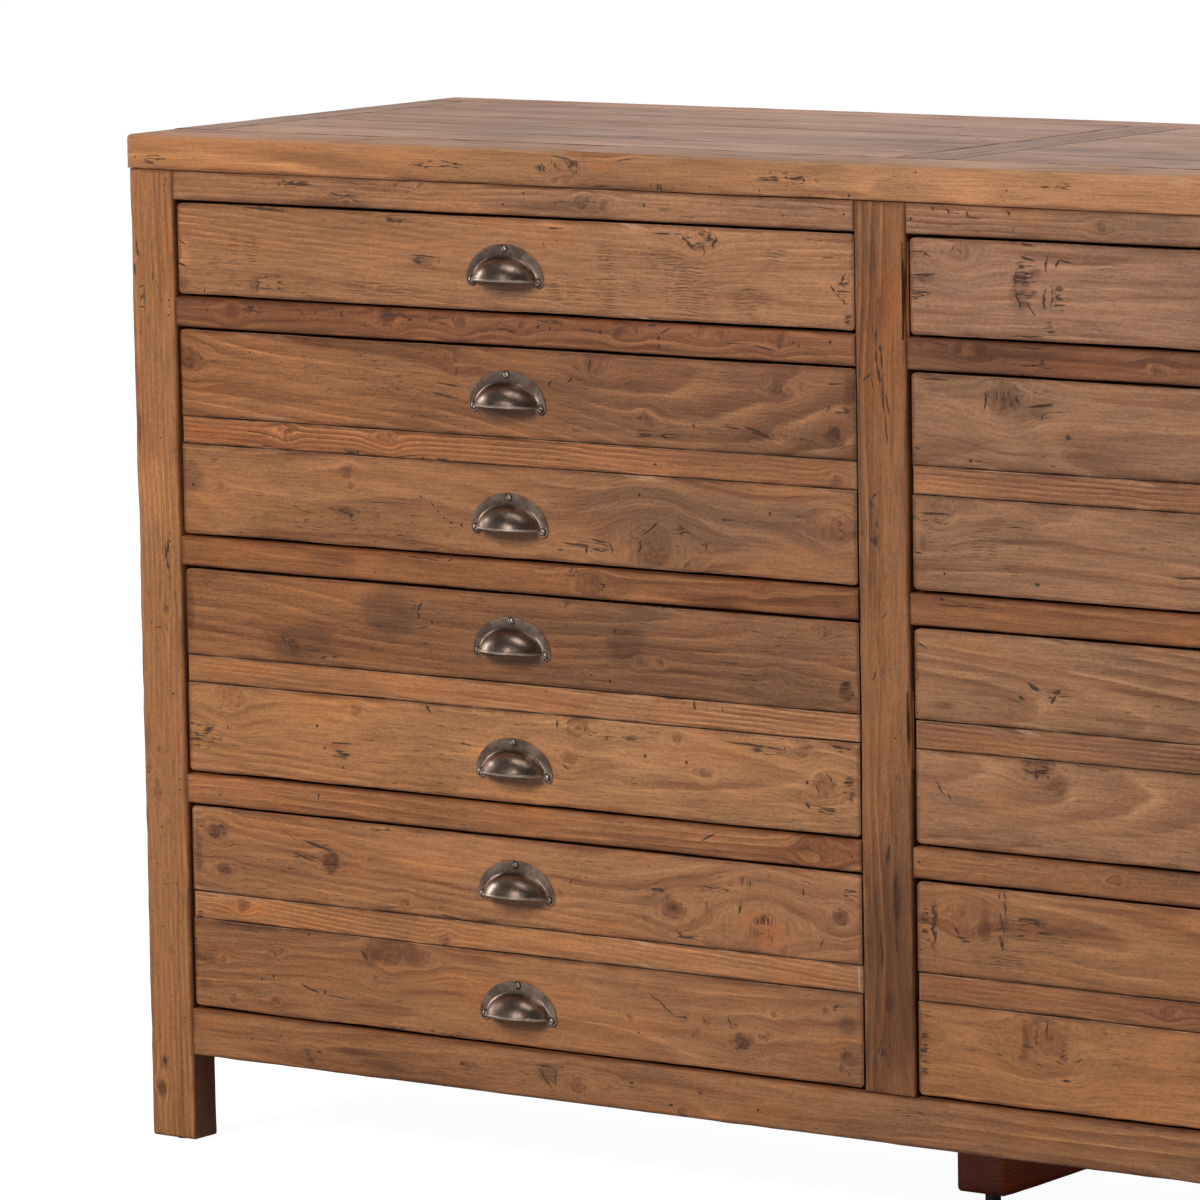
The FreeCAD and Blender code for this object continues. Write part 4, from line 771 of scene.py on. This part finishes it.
# ---------------------------------------------------------------------------------------------
# The drawer fronts: three old boards glued edge to edge, a narrow strip between two wide ones, with
# saw marks, knots and nail holes left under the wax. The shallow drawers have one board.
# ---------------------------------------------------------------------------------------------
FRONT_FACE, FRONT_BACK = -0.2525, -0.2305
BAY, FRONT_HALF = 0.432, 0.4008
SPAN = {"upper": (0.1182, 0.2038), "strip": (0.0912, 0.1182), "lower": (0.0025, 0.0912), "whole": (0.0025, 0.0920)}
FRONTS = {
    "left_one": [
        ("whole", (0.230, 0.103, 0.045), (0.06, -0.05), 0.0055, 0.05, 0.45, (0.04, 0.02), """
saw -764 893 18 33,-740 894 21 37,-786 879 20 18,-763 863 20 16,-577 862 136 14,-314 875 28 59,-314 906 23 21,
-217 876 67 60,-245 904 51 28,-146 868 48 34,-119 913 25 20,-362 869 47 34;stain -738 859 17 22 dirty,
-529 891 36 12 dirty,-825 898 18 10 pale,-824 883 15 18 pale,-826 857 18 14 dirty;torn -718 862 42 20,-529 891 34 11,
-719 934 62 6,-563 930 53 8,-202 925 41 21,-44 888 20 24,-39 859 11 15;crack -733 858 14 2.4 85,-529 896 41 1.6 -1,
-511 892 7 1.2 80,-827 898 12 1.8 -30,-826 876 15 2.4 -10,-722 934 57 2.6 -2,-800 851 5 2 85,-375 929 26 2 0,
-387 912 9 1.4 88,-242 929 39 2.2 0,-217 921 23 3.2 -42,-200 916 13 1.8 88,-187 923 15 3.2 75,-54 885 10 2.6 -45,
-45 876 15 2.8 -40,-43 895 14 2.2 60,-52 914 34 1 2;pin -371 917 1.2;knot -205 930 8.3 .3"""),
    ],
    "left_two": [
        ("upper", (0.163, 0.067, 0.026), (0.02, -0.07), 0.01, 0.1, 0.75, (0.12, 0.03), """
stain -700 760 420 200 sunny,-200 760 420 200 dull,-37 788 18 46 dark;knot -825 784 10.1 .25,-498 801 6.5 .3,
-328 801 8.5 .3,-117 790 6.2 .5,-103 787 4.1 .3,-267 754 5.3 .6,-116 748 6.2 .5,-57 750 7.2 .4;crack -745 793 4 2 80,
-492 787 12 1.6 80,-503 774 31 2 -5,-505 763 36 1.8 -10,-468 752 14 2 -60,-335 800 16 2.6 90,-358 786 13 2.4 45,
-345 787 16 1 -4,-380 782 11 2.2 50,-216 750 6 1.8 90,-167 750 23 2 -8,-148 750 27 2.6 -12,-133 744 22 3 -15,
-54 797 16 1.8 6,-61 774 10 2.6 65;pin -720 811 1;torn -139 743 34 11,-48 773 22 7,-262 739 70 8"""),
        ("strip", (0.209, 0.081, 0.030), (0.09, -0.02), 0.005, 0.02, 0.8, (0.02, 0.02), """
stain -804 712 50 14 orange;torn -739 714 32 8,-748 702 125 5,-636 702 98 5,-533 701 85 6;knot -706 716 5.6 .6,
-578 723 7.7 .6,-54 705 5.1 .4;crack -259 711 6 2 0,-180 700 80 1.8 -1"""),
        ("lower", (0.206, 0.089, 0.036), (-0.03, -0.06), 0.01, 0.1, 0.45, (0.03, 0.05), """
stain -824 669 41 34 dirty,-631 644 37 12 dirty,-209 661 346 66 grey,-57 671 29 22 pale;crack -829 674 15 1.2 0,
-638 644 42 1.6 -11,-525 657 7 2 -30,-539 664 6 1.6 -20,-576 656 122 0.8 1,-279 631 17 3.2 75,-267 650 26 2.2 40,
-341 626 12 3 80,-313 628 13 2.6 -75,-358 629 26 1.8 -5,-326 634 23 2.2 -8,-203 637 10 1.8 88,-372 623 9 1.4 0;
pin -820 659 2,-624 640 2.6,-518 651 1.4,-511 645 1.4,-502 641 1.6,-490 639 1.8,-279 681 2,-129 672 2;
knot -782 662 3.4 .3,-794 619 2.8 .4,-627 685 5 .6,-624 671 3.3 .8,-262 624 10.6 .5,-267 634 19 .2,-60 663 10.3 .15;
torn -628 643 30 11,-335 626 66 15,-229 649 25 11,-177 661 25 8,-64 617 14 6,-204 614 14 6"""),
    ],
    "left_three": [
        ("upper", (0.173, 0.071, 0.027), (0.03, -0.06), 0.011, 0.1, 0.55, (0.05, 0.05), """
stain -700 530 420 200 sunny,-200 530 420 200 dull,-579 551 73 59 dirty,-691 514 87 39 dirty,-827 535 10 60 dirty,
-280 567 61 27 grey,-299 537 52 38 dirty,-45 512 16 24 dark;crack -542 557 12 3 60,-545 548 10 3.2 -70,
-538 537 15 1.8 8,-529 543 6 2 80,-710 513 15 2 -50,-702 508 12 2 -75,-202 537 35 0.8 -1,-177 528 28 0.8 0;
torn -702 506 20 20,-660 502 37 12,-45 512 16 23;pin -601 512 1.6,-310 549 2,-317 501 2,-254 575 1.2,-339 505 1.4,
-38 508 1.6;knot -279 521 4.2 .5,-259 524 3.2 .3,-368 572 3.2 .4,-68 565 4.1 .5,-124 511 5.2 .2"""),
        ("strip", (0.243, 0.104, 0.042), (0.12, -0.01), 0.0048, 0.015, 0.85, (0.02, 0.02), """
crack -394 485 6 1.8 85,-218 485 10 2.8 85,-262 487 6 1.6 80,-231 486 5 1.6 60,-186 483 5 1.4 85,-317 490 71 1.2 0,
-245 490 46 2 0"""),
        ("lower", (0.267, 0.118, 0.046), (0.01, -0.05), 0.0095, 0.08, 0.45, (0.0, 0.07), """
torn -816 411 53 28,-778 433 15 16,-644 405 30 10,-485 427 36 6,-318 447 71 12,-133 448 46 9,-48 456 18 9,
-72 398 45 13,-43 419 16 28;crack -828 422 8 2 0,-784 421 6 2 -60,-642 416 37 1.8 2,-535 458 11 3.4 -50,
-347 455 13 1.4 88,-380 455 8 2.2 80,-371 414 11 1.6 -30,-150 452 80 2.4 -3,-116 451 9 1.4 88,-55 458 16 3.2 -4,
-66 428 10 1.8 -65,-79 416 10 1.6 -70,-90 400 8 3.6 -50,-40 412 12 1.8 -70;knot -780 453 12.4 .25,-623 449 4.4 .3,
-356 454 8.6 .45,-368 424 7.5 .4,-240 451 4.2 .5,-210 421 4.2 .4,-95 454 7.3 .5,-71 421 8.3 .4;pin -672 431 2,
-663 410 1.4,-641 392 1.6,-277 432 2,-229 430 2,-91 422 2"""),
    ],
    "left_four": [
        ("upper", (0.240, 0.103, 0.042), (0.05, -0.05), 0.009, 0.07, 0.5, (0.04, 0.03), """
stain -250 300 420 180 sunny,-802 317 30 16 dirty,-825 287 13 40 dirty,-793 278 18 12 dark,-658 298 22 26 dark,
-247 289 26 13 dark,-141 278 57 38 orange,-55 298 20 17 dark;knot -803 315 8 .5,-793 279 5.7 .5,-660 303 5.6 .7,
-610 304 3.3 .3,-567 266 4.4 .7,-383 294 4.3 .4,-247 289 9.6 .8,-147 273 25.2 .15,-55 298 7.3 .7;
crack -794 321 12 3.2 -20,-709 320 29 0.8 -26,-674 312 45 3.6 -11,-692 300 35 2.2 -12,-583 260 17 1.4 0,
-511 256 29 2.2 -8,-367 303 10 2.4 70,-353 309 17 1.2 0,-208 296 10 1.4 70,-170 296 14 3.4 70,-97 318 10 1.8 65,
-77 270 16 1.4 65;torn -802 316 28 14,-825 289 11 30,-674 313 45 9,-658 296 21 24,-691 299 37 9,-599 335 37 8,
-365 304 17 10,-268 305 30 8,-202 311 28 10,-183 314 14 11,-230 265 47 10,-44 320 18 21;ripple -164 320 21 15,
-141 278 30 31"""),
        ("strip", (0.264, 0.112, 0.043), (0.07, -0.03), 0.005, 0.03, 0.7, (0.06, 0.0),
         "knot -768 243 5.7 .6,-520 235 4.4 .5;stain -771 242 76 12 orange;torn -825 230 10 10"),
        ("lower", (0.215, 0.091, 0.036), (-0.02, -0.07), 0.01, 0.09, 0.5, (-0.03, 0.05), """
stain -720 190 360 180 dull,-250 190 420 180 sunny,-610 210 25 24 dark,-561 215 25 24 dark,-817 188 31 10 dirty,
-821 161 20 12 dirty,-211 183 12 8 dirty,-170 167 28 17 dirty,-48 196 23 23 dirty,-46 165 23 15 dirty;
pin -688 223 1.6,-831 206 1.6,-748 173 1.6,-733 177 1.8,-669 167 2,-290 165 1.2;knot -588 212 12.2 .45,
-545 213 5.5 .3,-828 189 4 .8,-795 189 3.4 .5,-727 200 3.4 .8,-783 148 3.4 .6,-731 155 4.5 .6,-609 188 3.3 .3,
-300 178 3.2 .8,-169 169 6.3 .8,-144 176 3.7 .8,-222 172 3.2 .4,-134 198 3.2 .6,-74 206 3.1 .9,-51 169 4.2 .8,
-53 156 3.1 .7;crack -619 209 17 3.4 -48,-688 169 27 2.6 -18,-652 164 30 1.2 -6,-577 139 49 1.8 -1,
-262 195 40 1.8 -36,-213 186 8 3 -50,-183 185 14 2.4 -65,-62 212 9 1.8 30,-49 150 8 1.6 -60,-146 157 6 1.2 -60;
torn -541 140 115 6,-239 184 12 10,-180 185 14 13,-172 165 25 15,-59 210 16 11"""),
    ],
    "right_one": [
        ("whole", (0.194, 0.093, 0.048), (0.05, -0.06), 0.009, 0.06, 0.5, (0.02, 0.03), """
knot 87 924 9 .3,424 901 9 .5,784 891 12 .6;pin 87 925 1.2;crack 78 928 6 2.4 60,49 922 17 2 -25,47 903 33 2.2 5,
146 902 18 4 80,149 884 22 4 -70,160 922 19 3.4 -10,180 918 18 2.6 88,178 886 24 3.2 88,186 888 25 2 88,
192 919 10 3.4 60,201 921 17 1.8 -5,162 877 19 2.2 -55,156 851 43 1.6 2,154 935 32 2 -6,704 925 60 3 4;
torn 40 921 22 9,47 899 29 8,42 884 24 17,157 901 28 49,194 886 13 31,183 858 13 18;stain 47 899 29 9 dirty,
168 909 14 11 dark,151 893 26 46 dirty;saw 614 881 50 40"""),
    ],
    "right_two": [
        ("upper", (0.181, 0.085, 0.040), (0.01, -0.06), 0.009, 0.1, 0.7, (0.1, 0.04), """
knot 133 792 14 .4,544 781 10 .6;ripple 133 792 24 20;crack 112 789 20 3.4 80,148 793 9 3.2 85,172 788 34 3 8,
175 779 9 1.8 85,58 807 33 1.8 0,105 735 11 1 0,202 761 10 5 -30,644 761 60 3 -6;stain 172 780 28 12 dirty;
pin 96 734 2;torn 37 742 11 6,182 734 15 5"""),
        ("strip", (0.235, 0.098, 0.041), (0.09, -0.02), 0.005, 0.02, 0.8, (0.02, 0.02),
         "knot 484 715 5 .5"),
        ("lower", (0.188, 0.087, 0.040), (0.04, -0.06), 0.01, 0.09, 0.5, (0.02, 0.02), """
knot 56 689 12.2 .15,614 651 12 .5,774 671 7 .6;crack 56 683 38 2.4 2,37 646 11 2.4 -8,143 676 22 1.2 0,
168 625 8 3.4 0,334 641 50 2 3;torn 52 675 24 8;stain 42 654 9 17 dirty;saw 110 658 35 37,140 635 22 13;
pin 66 628 1.6"""),
    ],
    "right_three": [
        ("upper", (0.206, 0.095, 0.042), (-0.02, -0.06), 0.01, 0.09, 0.7, (0.02, 0.02), """
crack 40 560 15 2.2 -35,163 530 17 4.4 -35,184 521 14 4.4 55,188 527 13 4 15,149 519 9 3.2 -20,119 490 44 4 -1;
stain 82 536 110 7 pale,169 514 17 20 pale,65 506 31 9 dark;torn 139 551 15 7,187 523 28 13,35 525 13 7;
knot 404 551 7 .6,704 521 12 .5"""),
        ("strip", (0.166, 0.071, 0.030), (0.1, -0.02), 0.005, 0.02, 0.8, (0.02, 0.02),
         "torn 141 480 17 7;knot 364 485 5 .5"),
        ("lower", (0.233, 0.106, 0.047), (0.02, -0.06), 0.01, 0.08, 0.5, (0.0, 0.08), """
knot 165 459 9.1 .6,186 437 4 .3,524 421 10 .5;crack 164 449 11 3.4 85,58 429 20 1.8 -50,69 421 9 1.6 -70,
744 411 50 2 -3;torn 165 456 39 17;stain 80 419 77 13 grey;pin 177 448 1.6,664 441 2.4"""),
    ],
    "right_four": [
        ("upper", (0.191, 0.080, 0.030), (0.02, -0.06), 0.009, 0.08, 0.5, (0.03, 0.03), """
crack 50 300 53 3.4 88,75 297 12 2.4 -40,125 288 13 4.2 88;ripple 50 300 10 56,126 314 13 60;knot 82 311 10.2 .25,
474 291 9 .6,694 311 14 .5;torn 85 291 18 11,155 305 55 28,40 299 10 41;saw 122 272 66 17;stain 106 305 15 37 dark"""),
        ("strip", (0.186, 0.073, 0.028), (0.08, -0.02), 0.005, 0.02, 0.75, (0.02, 0.02),
         "knot 304 241 5 .5"),
        ("lower", (0.229, 0.092, 0.032), (0.03, -0.06), 0.01, 0.09, 0.5, (0.02, 0.02), """
torn 41 215 13 8,38 181 10 57;knot 174 206 17.2 .4,142 184 2.5 .5,191 190 3 .8,564 181 9 .6;crack 173 214 21 1.6 88,
167 201 9 1.4 88,193 168 10 3.4 0,724 161 60 2 2;stain 149 204 9 39 dark"""),
    ],
}
for number, (drawer, boards) in enumerate(FRONTS.items()):
    side, word = drawer.split("_")
    middle = BAY if side == "right" else -BAY
    for rank, (part, tone, pith, pitch, sway, contrast, lean, marks) in enumerate(boards):
        bottom, top = SPAN[part]
        low = (middle - FRONT_HALF, FRONT_FACE, SILL[word] + bottom)
        high = (middle + FRONT_HALF, FRONT_BACK, SILL[word] + top)
        seams = {"upper": "-z", "strip": "+z-z", "lower": "+z", "whole": ""}[part]
        # how far the outline's dirt and painted shade reach, and how round the board's corners are
        dirt_and_shade_reach, rounded = (0.004, 0.0) if part == "strip" else (0.006, 0.005)
        finish = pine(f"{drawer}_{part}_pine", "X", tone, 101 + 3 * number + rank, low, high, marks,
                      pith, pitch, sway, contrast, dirt_and_shade_reach, seams, 0.0011, lean, 0.6)
        piece = board(f"{side}_drawer_{word}_{part}_board", low, high, "x", finish, seams, 0.0028, 0.0012, rounded,
                      seed=70 + 3 * number + rank)
        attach(piece, f"{side}_drawer_{word}")
        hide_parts(f"{side}_drawer_{word}_front")

# ---------------------------------------------------------------------------------------------
# The drawer boxes: bare pine sides dovetailed into the front, with the back housed between them and
# a thin bottom slid into grooves. Their inside is sanded but has no stain.
# ---------------------------------------------------------------------------------------------
for side in ("left", "right"):
    for number, word in enumerate(("one", "two", "three", "four")):
        shift = number + (5 if side == "right" else 0)
        sill = SILL[word]
        drawer = f"{side}_drawer_{word}"
        marks = scatter(150 + shift, (-200, sill * 1000 + 15), (200, sill * 1000 + 80), 2, 0, 5)
        plain(f"{drawer}_sides", f"{side}_{word}_side_pine", "Y", BARE, 130 + shift, (-0.9, -0.25, sill),
              (0.9, 0.23, sill + 0.2), marks, (0.05, 0.1), 0.009, 0.06)
        plain(f"{drawer}_back", f"{side}_{word}_back_pine", "X", BARE, 145 + shift, (-0.85, 0.2, sill),
              (0.85, 0.22, sill + 0.2), "", (0.04, 0.08), 0.009, 0.06)
        plain(f"{drawer}_bottom", f"{side}_{word}_bottom_ply", "top", (0.43, 0.27, 0.155), 160 + shift,
              (-0.85, -0.23, sill), (0.85, 0.22, sill + 0.02), "", (0.05, -0.2), 0.014, 0.15, 0.4)

# ---------------------------------------------------------------------------------------------
# The cup pulls: one sheet of steel pressed into a half dome with a flat band round it, a rolled lip
# at its mouth and an ear at each foot, plated in antique pewter and held by three slotted screws.
# ---------------------------------------------------------------------------------------------


def plated(name, light, deep, rough):
    """Antique plated steel: a light tone that clouds over into a deep one, and faint brush lines."""
    material, tree = blank(name)
    at = put(tree, "TexCoord").outputs["Object"]
    cloud = grainy(tree, at, (70, 70, 70), 4.0)
    brushed = grainy(tree, at, (260, 260, 1900), 2.0)
    tone = tint(tree, ramp(tree, cloud, 0.38, 0.66), (*light, 1), (*deep, 1))
    tone = tint(tree, ramp(tree, brushed, 0.35, 0.7, 0.0, 0.30), tone, (0.09, 0.063, 0.047, 1))
    relief = put(tree, "Bump", {"Height": calc(tree, "ADD", brushed, cloud), "Distance": 0.0003, "Strength": 0.25})
    dull = ramp(tree, cloud, 0.3, 0.7, rough, rough + 0.15)
    skin = put(tree, "BsdfPrincipled", {"Base Color": tone, "Metallic": 1.0, "Roughness": dull,
                                        "Normal": relief.outputs[0]})
    put(tree, "OutputMaterial", {"Surface": skin.outputs[0]})
    return material


PLATED = [plated("antique_pewter", (0.38, 0.272, 0.212), (0.17, 0.115, 0.086), 0.26),
          plated("worn_pewter", (0.62, 0.52, 0.44), (0.38, 0.30, 0.24), 0.30),
          plated("pewter_recess", (0.030, 0.020, 0.015), (0.018, 0.012, 0.009), 0.60)]
WORN, RECESS = 1, 2

PLATE = 0.0016
CUP = (0.036, 0.022)
DOME_START = 0.0366
BAND = 0.0094
BAND_EDGE = 0.0450
FLATTENED, BAND_FLATTENED = 0.64, 0.761
MOUTH, MOUTH_FADE = 0.0010, 0.004
EAR = 0.0395
SCREWS = [((0, 0.0306), 0.6), ((-EAR, -0.0002), -0.35), ((EAR, -0.0002), 1.1)]
HEAD, HEAD_RING, SLOT_HALF = 0.0033, 0.0040, 0.0005
FACING = Matrix.Rotation(math.radians(90), 3, "X")


def stand(bm, verts, place, turn=None):
    """Turns a part made flat so that it faces the front, and moves it to its place."""
    for matrix in filter(None, (turn, FACING)):
        bmesh.ops.rotate(bm, verts=verts, cent=(0, 0, 0), matrix=matrix)
    bmesh.ops.translate(bm, verts=verts, vec=place)


def coat(verts, number):
    """Gives the faces round some vertices one of the pull's finishes."""
    for face in {f for v in verts for f in v.link_faces}:
        face.material_index = number


def bowed(x):
    """How far the lip rises at a place along the mouth."""
    return MOUTH * max(0.0, 1 - (x / CUP[0]) ** 2)


def pressed_cup(bm):
    """The dome and the flat band round it, spun as half a turn of one profile and flattened."""
    rise = [(0.0452, 0), (0.0460, -0.0006), (0.0456, -PLATE), (0.0386, -PLATE), (0.0370, -0.0021), (0.0358, -0.0033),
            (0.0350, -0.0048)]
    for k in range(13):
        lean = math.radians(6 * k + 16)
        rise.append((CUP[0] * math.cos(lean), -CUP[1] * math.sin(lean)))
    rise.append((0, -CUP[1]))
    line = [bm.verts.new((x, y, 0)) for x, y in rise]
    edges = [bm.edges.new(pair) for pair in zip(line, line[1:])]
    bmesh.ops.spin(bm, geom=line + edges, cent=(0, 0, 0), axis=(0, -1, 0), angle=math.pi, steps=40, use_merge=False)
    bmesh.ops.remove_doubles(bm, verts=bm.verts, dist=1e-5)
    for v in bm.verts:
        band = min(1.0, max(0.0, (math.hypot(v.co.x, v.co.z) - DOME_START) / BAND))
        v.co.z *= FLATTENED + (BAND_FLATTENED - FLATTENED) * band
    bmesh.ops.recalc_face_normals(bm, faces=bm.faces)
    if sum(f.normal.y * f.calc_area() for f in bm.faces) > 0:
        bmesh.ops.reverse_faces(bm, faces=bm.faces)
    bmesh.ops.solidify(bm, geom=bm.faces[:], thickness=0.0011)
    for v in bm.verts:
        if v.co.z < MOUTH_FADE:
            v.co.z += bowed(v.co.x) * (1 - max(0.0, v.co.z) / MOUTH_FADE)


def rolled_lip(bm):
    """The bead along the mouth, spun round it and squeezed to the cup's depth."""
    before = set(bm.verts)
    bead = bmesh.ops.create_circle(bm, segments=10, radius=0.0013)["verts"]
    stand(bm, bead, (CUP[0] - 0.0002, 0, MOUTH))
    ring = list(dict.fromkeys(e for v in bead for e in v.link_edges))
    bmesh.ops.spin(bm, geom=bead + ring, cent=(0, 0, 0), axis=(0, 0, -1), angle=math.pi, steps=36, use_merge=False)
    lip = [v for v in bm.verts if v not in before]
    bmesh.ops.scale(bm, verts=lip, vec=(1, CUP[1] / CUP[0], 1))
    for v in lip:
        v.co.z += bowed(v.co.x)


def slotted_screw(bm, x, z, angle):
    """A dome head in two halves, with the slot between them, over a dark ring in the plate."""
    ring = bmesh.ops.create_cone(bm, cap_ends=True, segments=24, radius1=HEAD_RING, radius2=HEAD_RING,
                                 depth=0.0004)["verts"]
    coat(ring, RECESS)
    stand(bm, ring, (x, -PLATE - 0.0001, z))
    for half in (-1, 1):
        dome = bmesh.ops.create_uvsphere(bm, u_segments=20, v_segments=10, radius=HEAD)["verts"]
        bmesh.ops.scale(bm, verts=dome, vec=(1, 1, 0.40))
        own = set(dome)
        geom = dome + [e for e in bm.edges if e.verts[0] in own] + [f for f in bm.faces if f.verts[0] in own]
        kept = bmesh.ops.bisect_plane(bm, geom=geom, plane_co=(half * SLOT_HALF, 0, 0), plane_no=(-half, 0, 0),
                                      clear_outer=True)
        rest = [g for g in kept["geom"] if isinstance(g, bmesh.types.BMVert) and g.is_valid]
        stand(bm, rest, (x, -PLATE - 0.0002, z), Matrix.Rotation(angle, 3, "Z"))
        coat(rest, WORN)


def pull_piece(name, centre):
    """One cup pull with its screws, standing on the drawer front at the given place."""
    bm = bmesh.new()
    pressed_cup(bm)
    for hand in (-1, 1):
        ear = bmesh.ops.create_cone(bm, cap_ends=True, segments=28, radius1=0.0065, radius2=0.0060,
                                    depth=PLATE)["verts"]
        stand(bm, ear, (hand * EAR, -PLATE / 2 + 0.0001, 0))
    plain_faces = set(bm.faces)
    rolled_lip(bm)
    for face in bm.faces:
        inmost = min(math.hypot(v.co.x, v.co.z / BAND_FLATTENED) for v in face.verts)
        if face not in plain_faces or inmost > BAND_EDGE:
            face.material_index = WORN
    for (x, z), angle in SCREWS:
        slotted_screw(bm, x, z, angle)
    bmesh.ops.translate(bm, verts=bm.verts, vec=centre)
    return finished(name, bm, PLATED, 0.8)


LEVELS = {"one": {"": 0.032}, "deep": {"_upper": 0.148, "_lower": 0.0305}}
for side, hand in (("left", -1), ("right", 1)):
    for word, sill in SILL.items():
        for place, level in LEVELS["one" if word == "one" else "deep"].items():
            piece = pull_piece(f"{side}_drawer_{word}{place}_cup_pull", (hand * BAY, FRONT_FACE, sill + level))
            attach(piece, f"{side}_drawer_{word}")
            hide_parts(f"{side}_drawer_{word}_pulls")
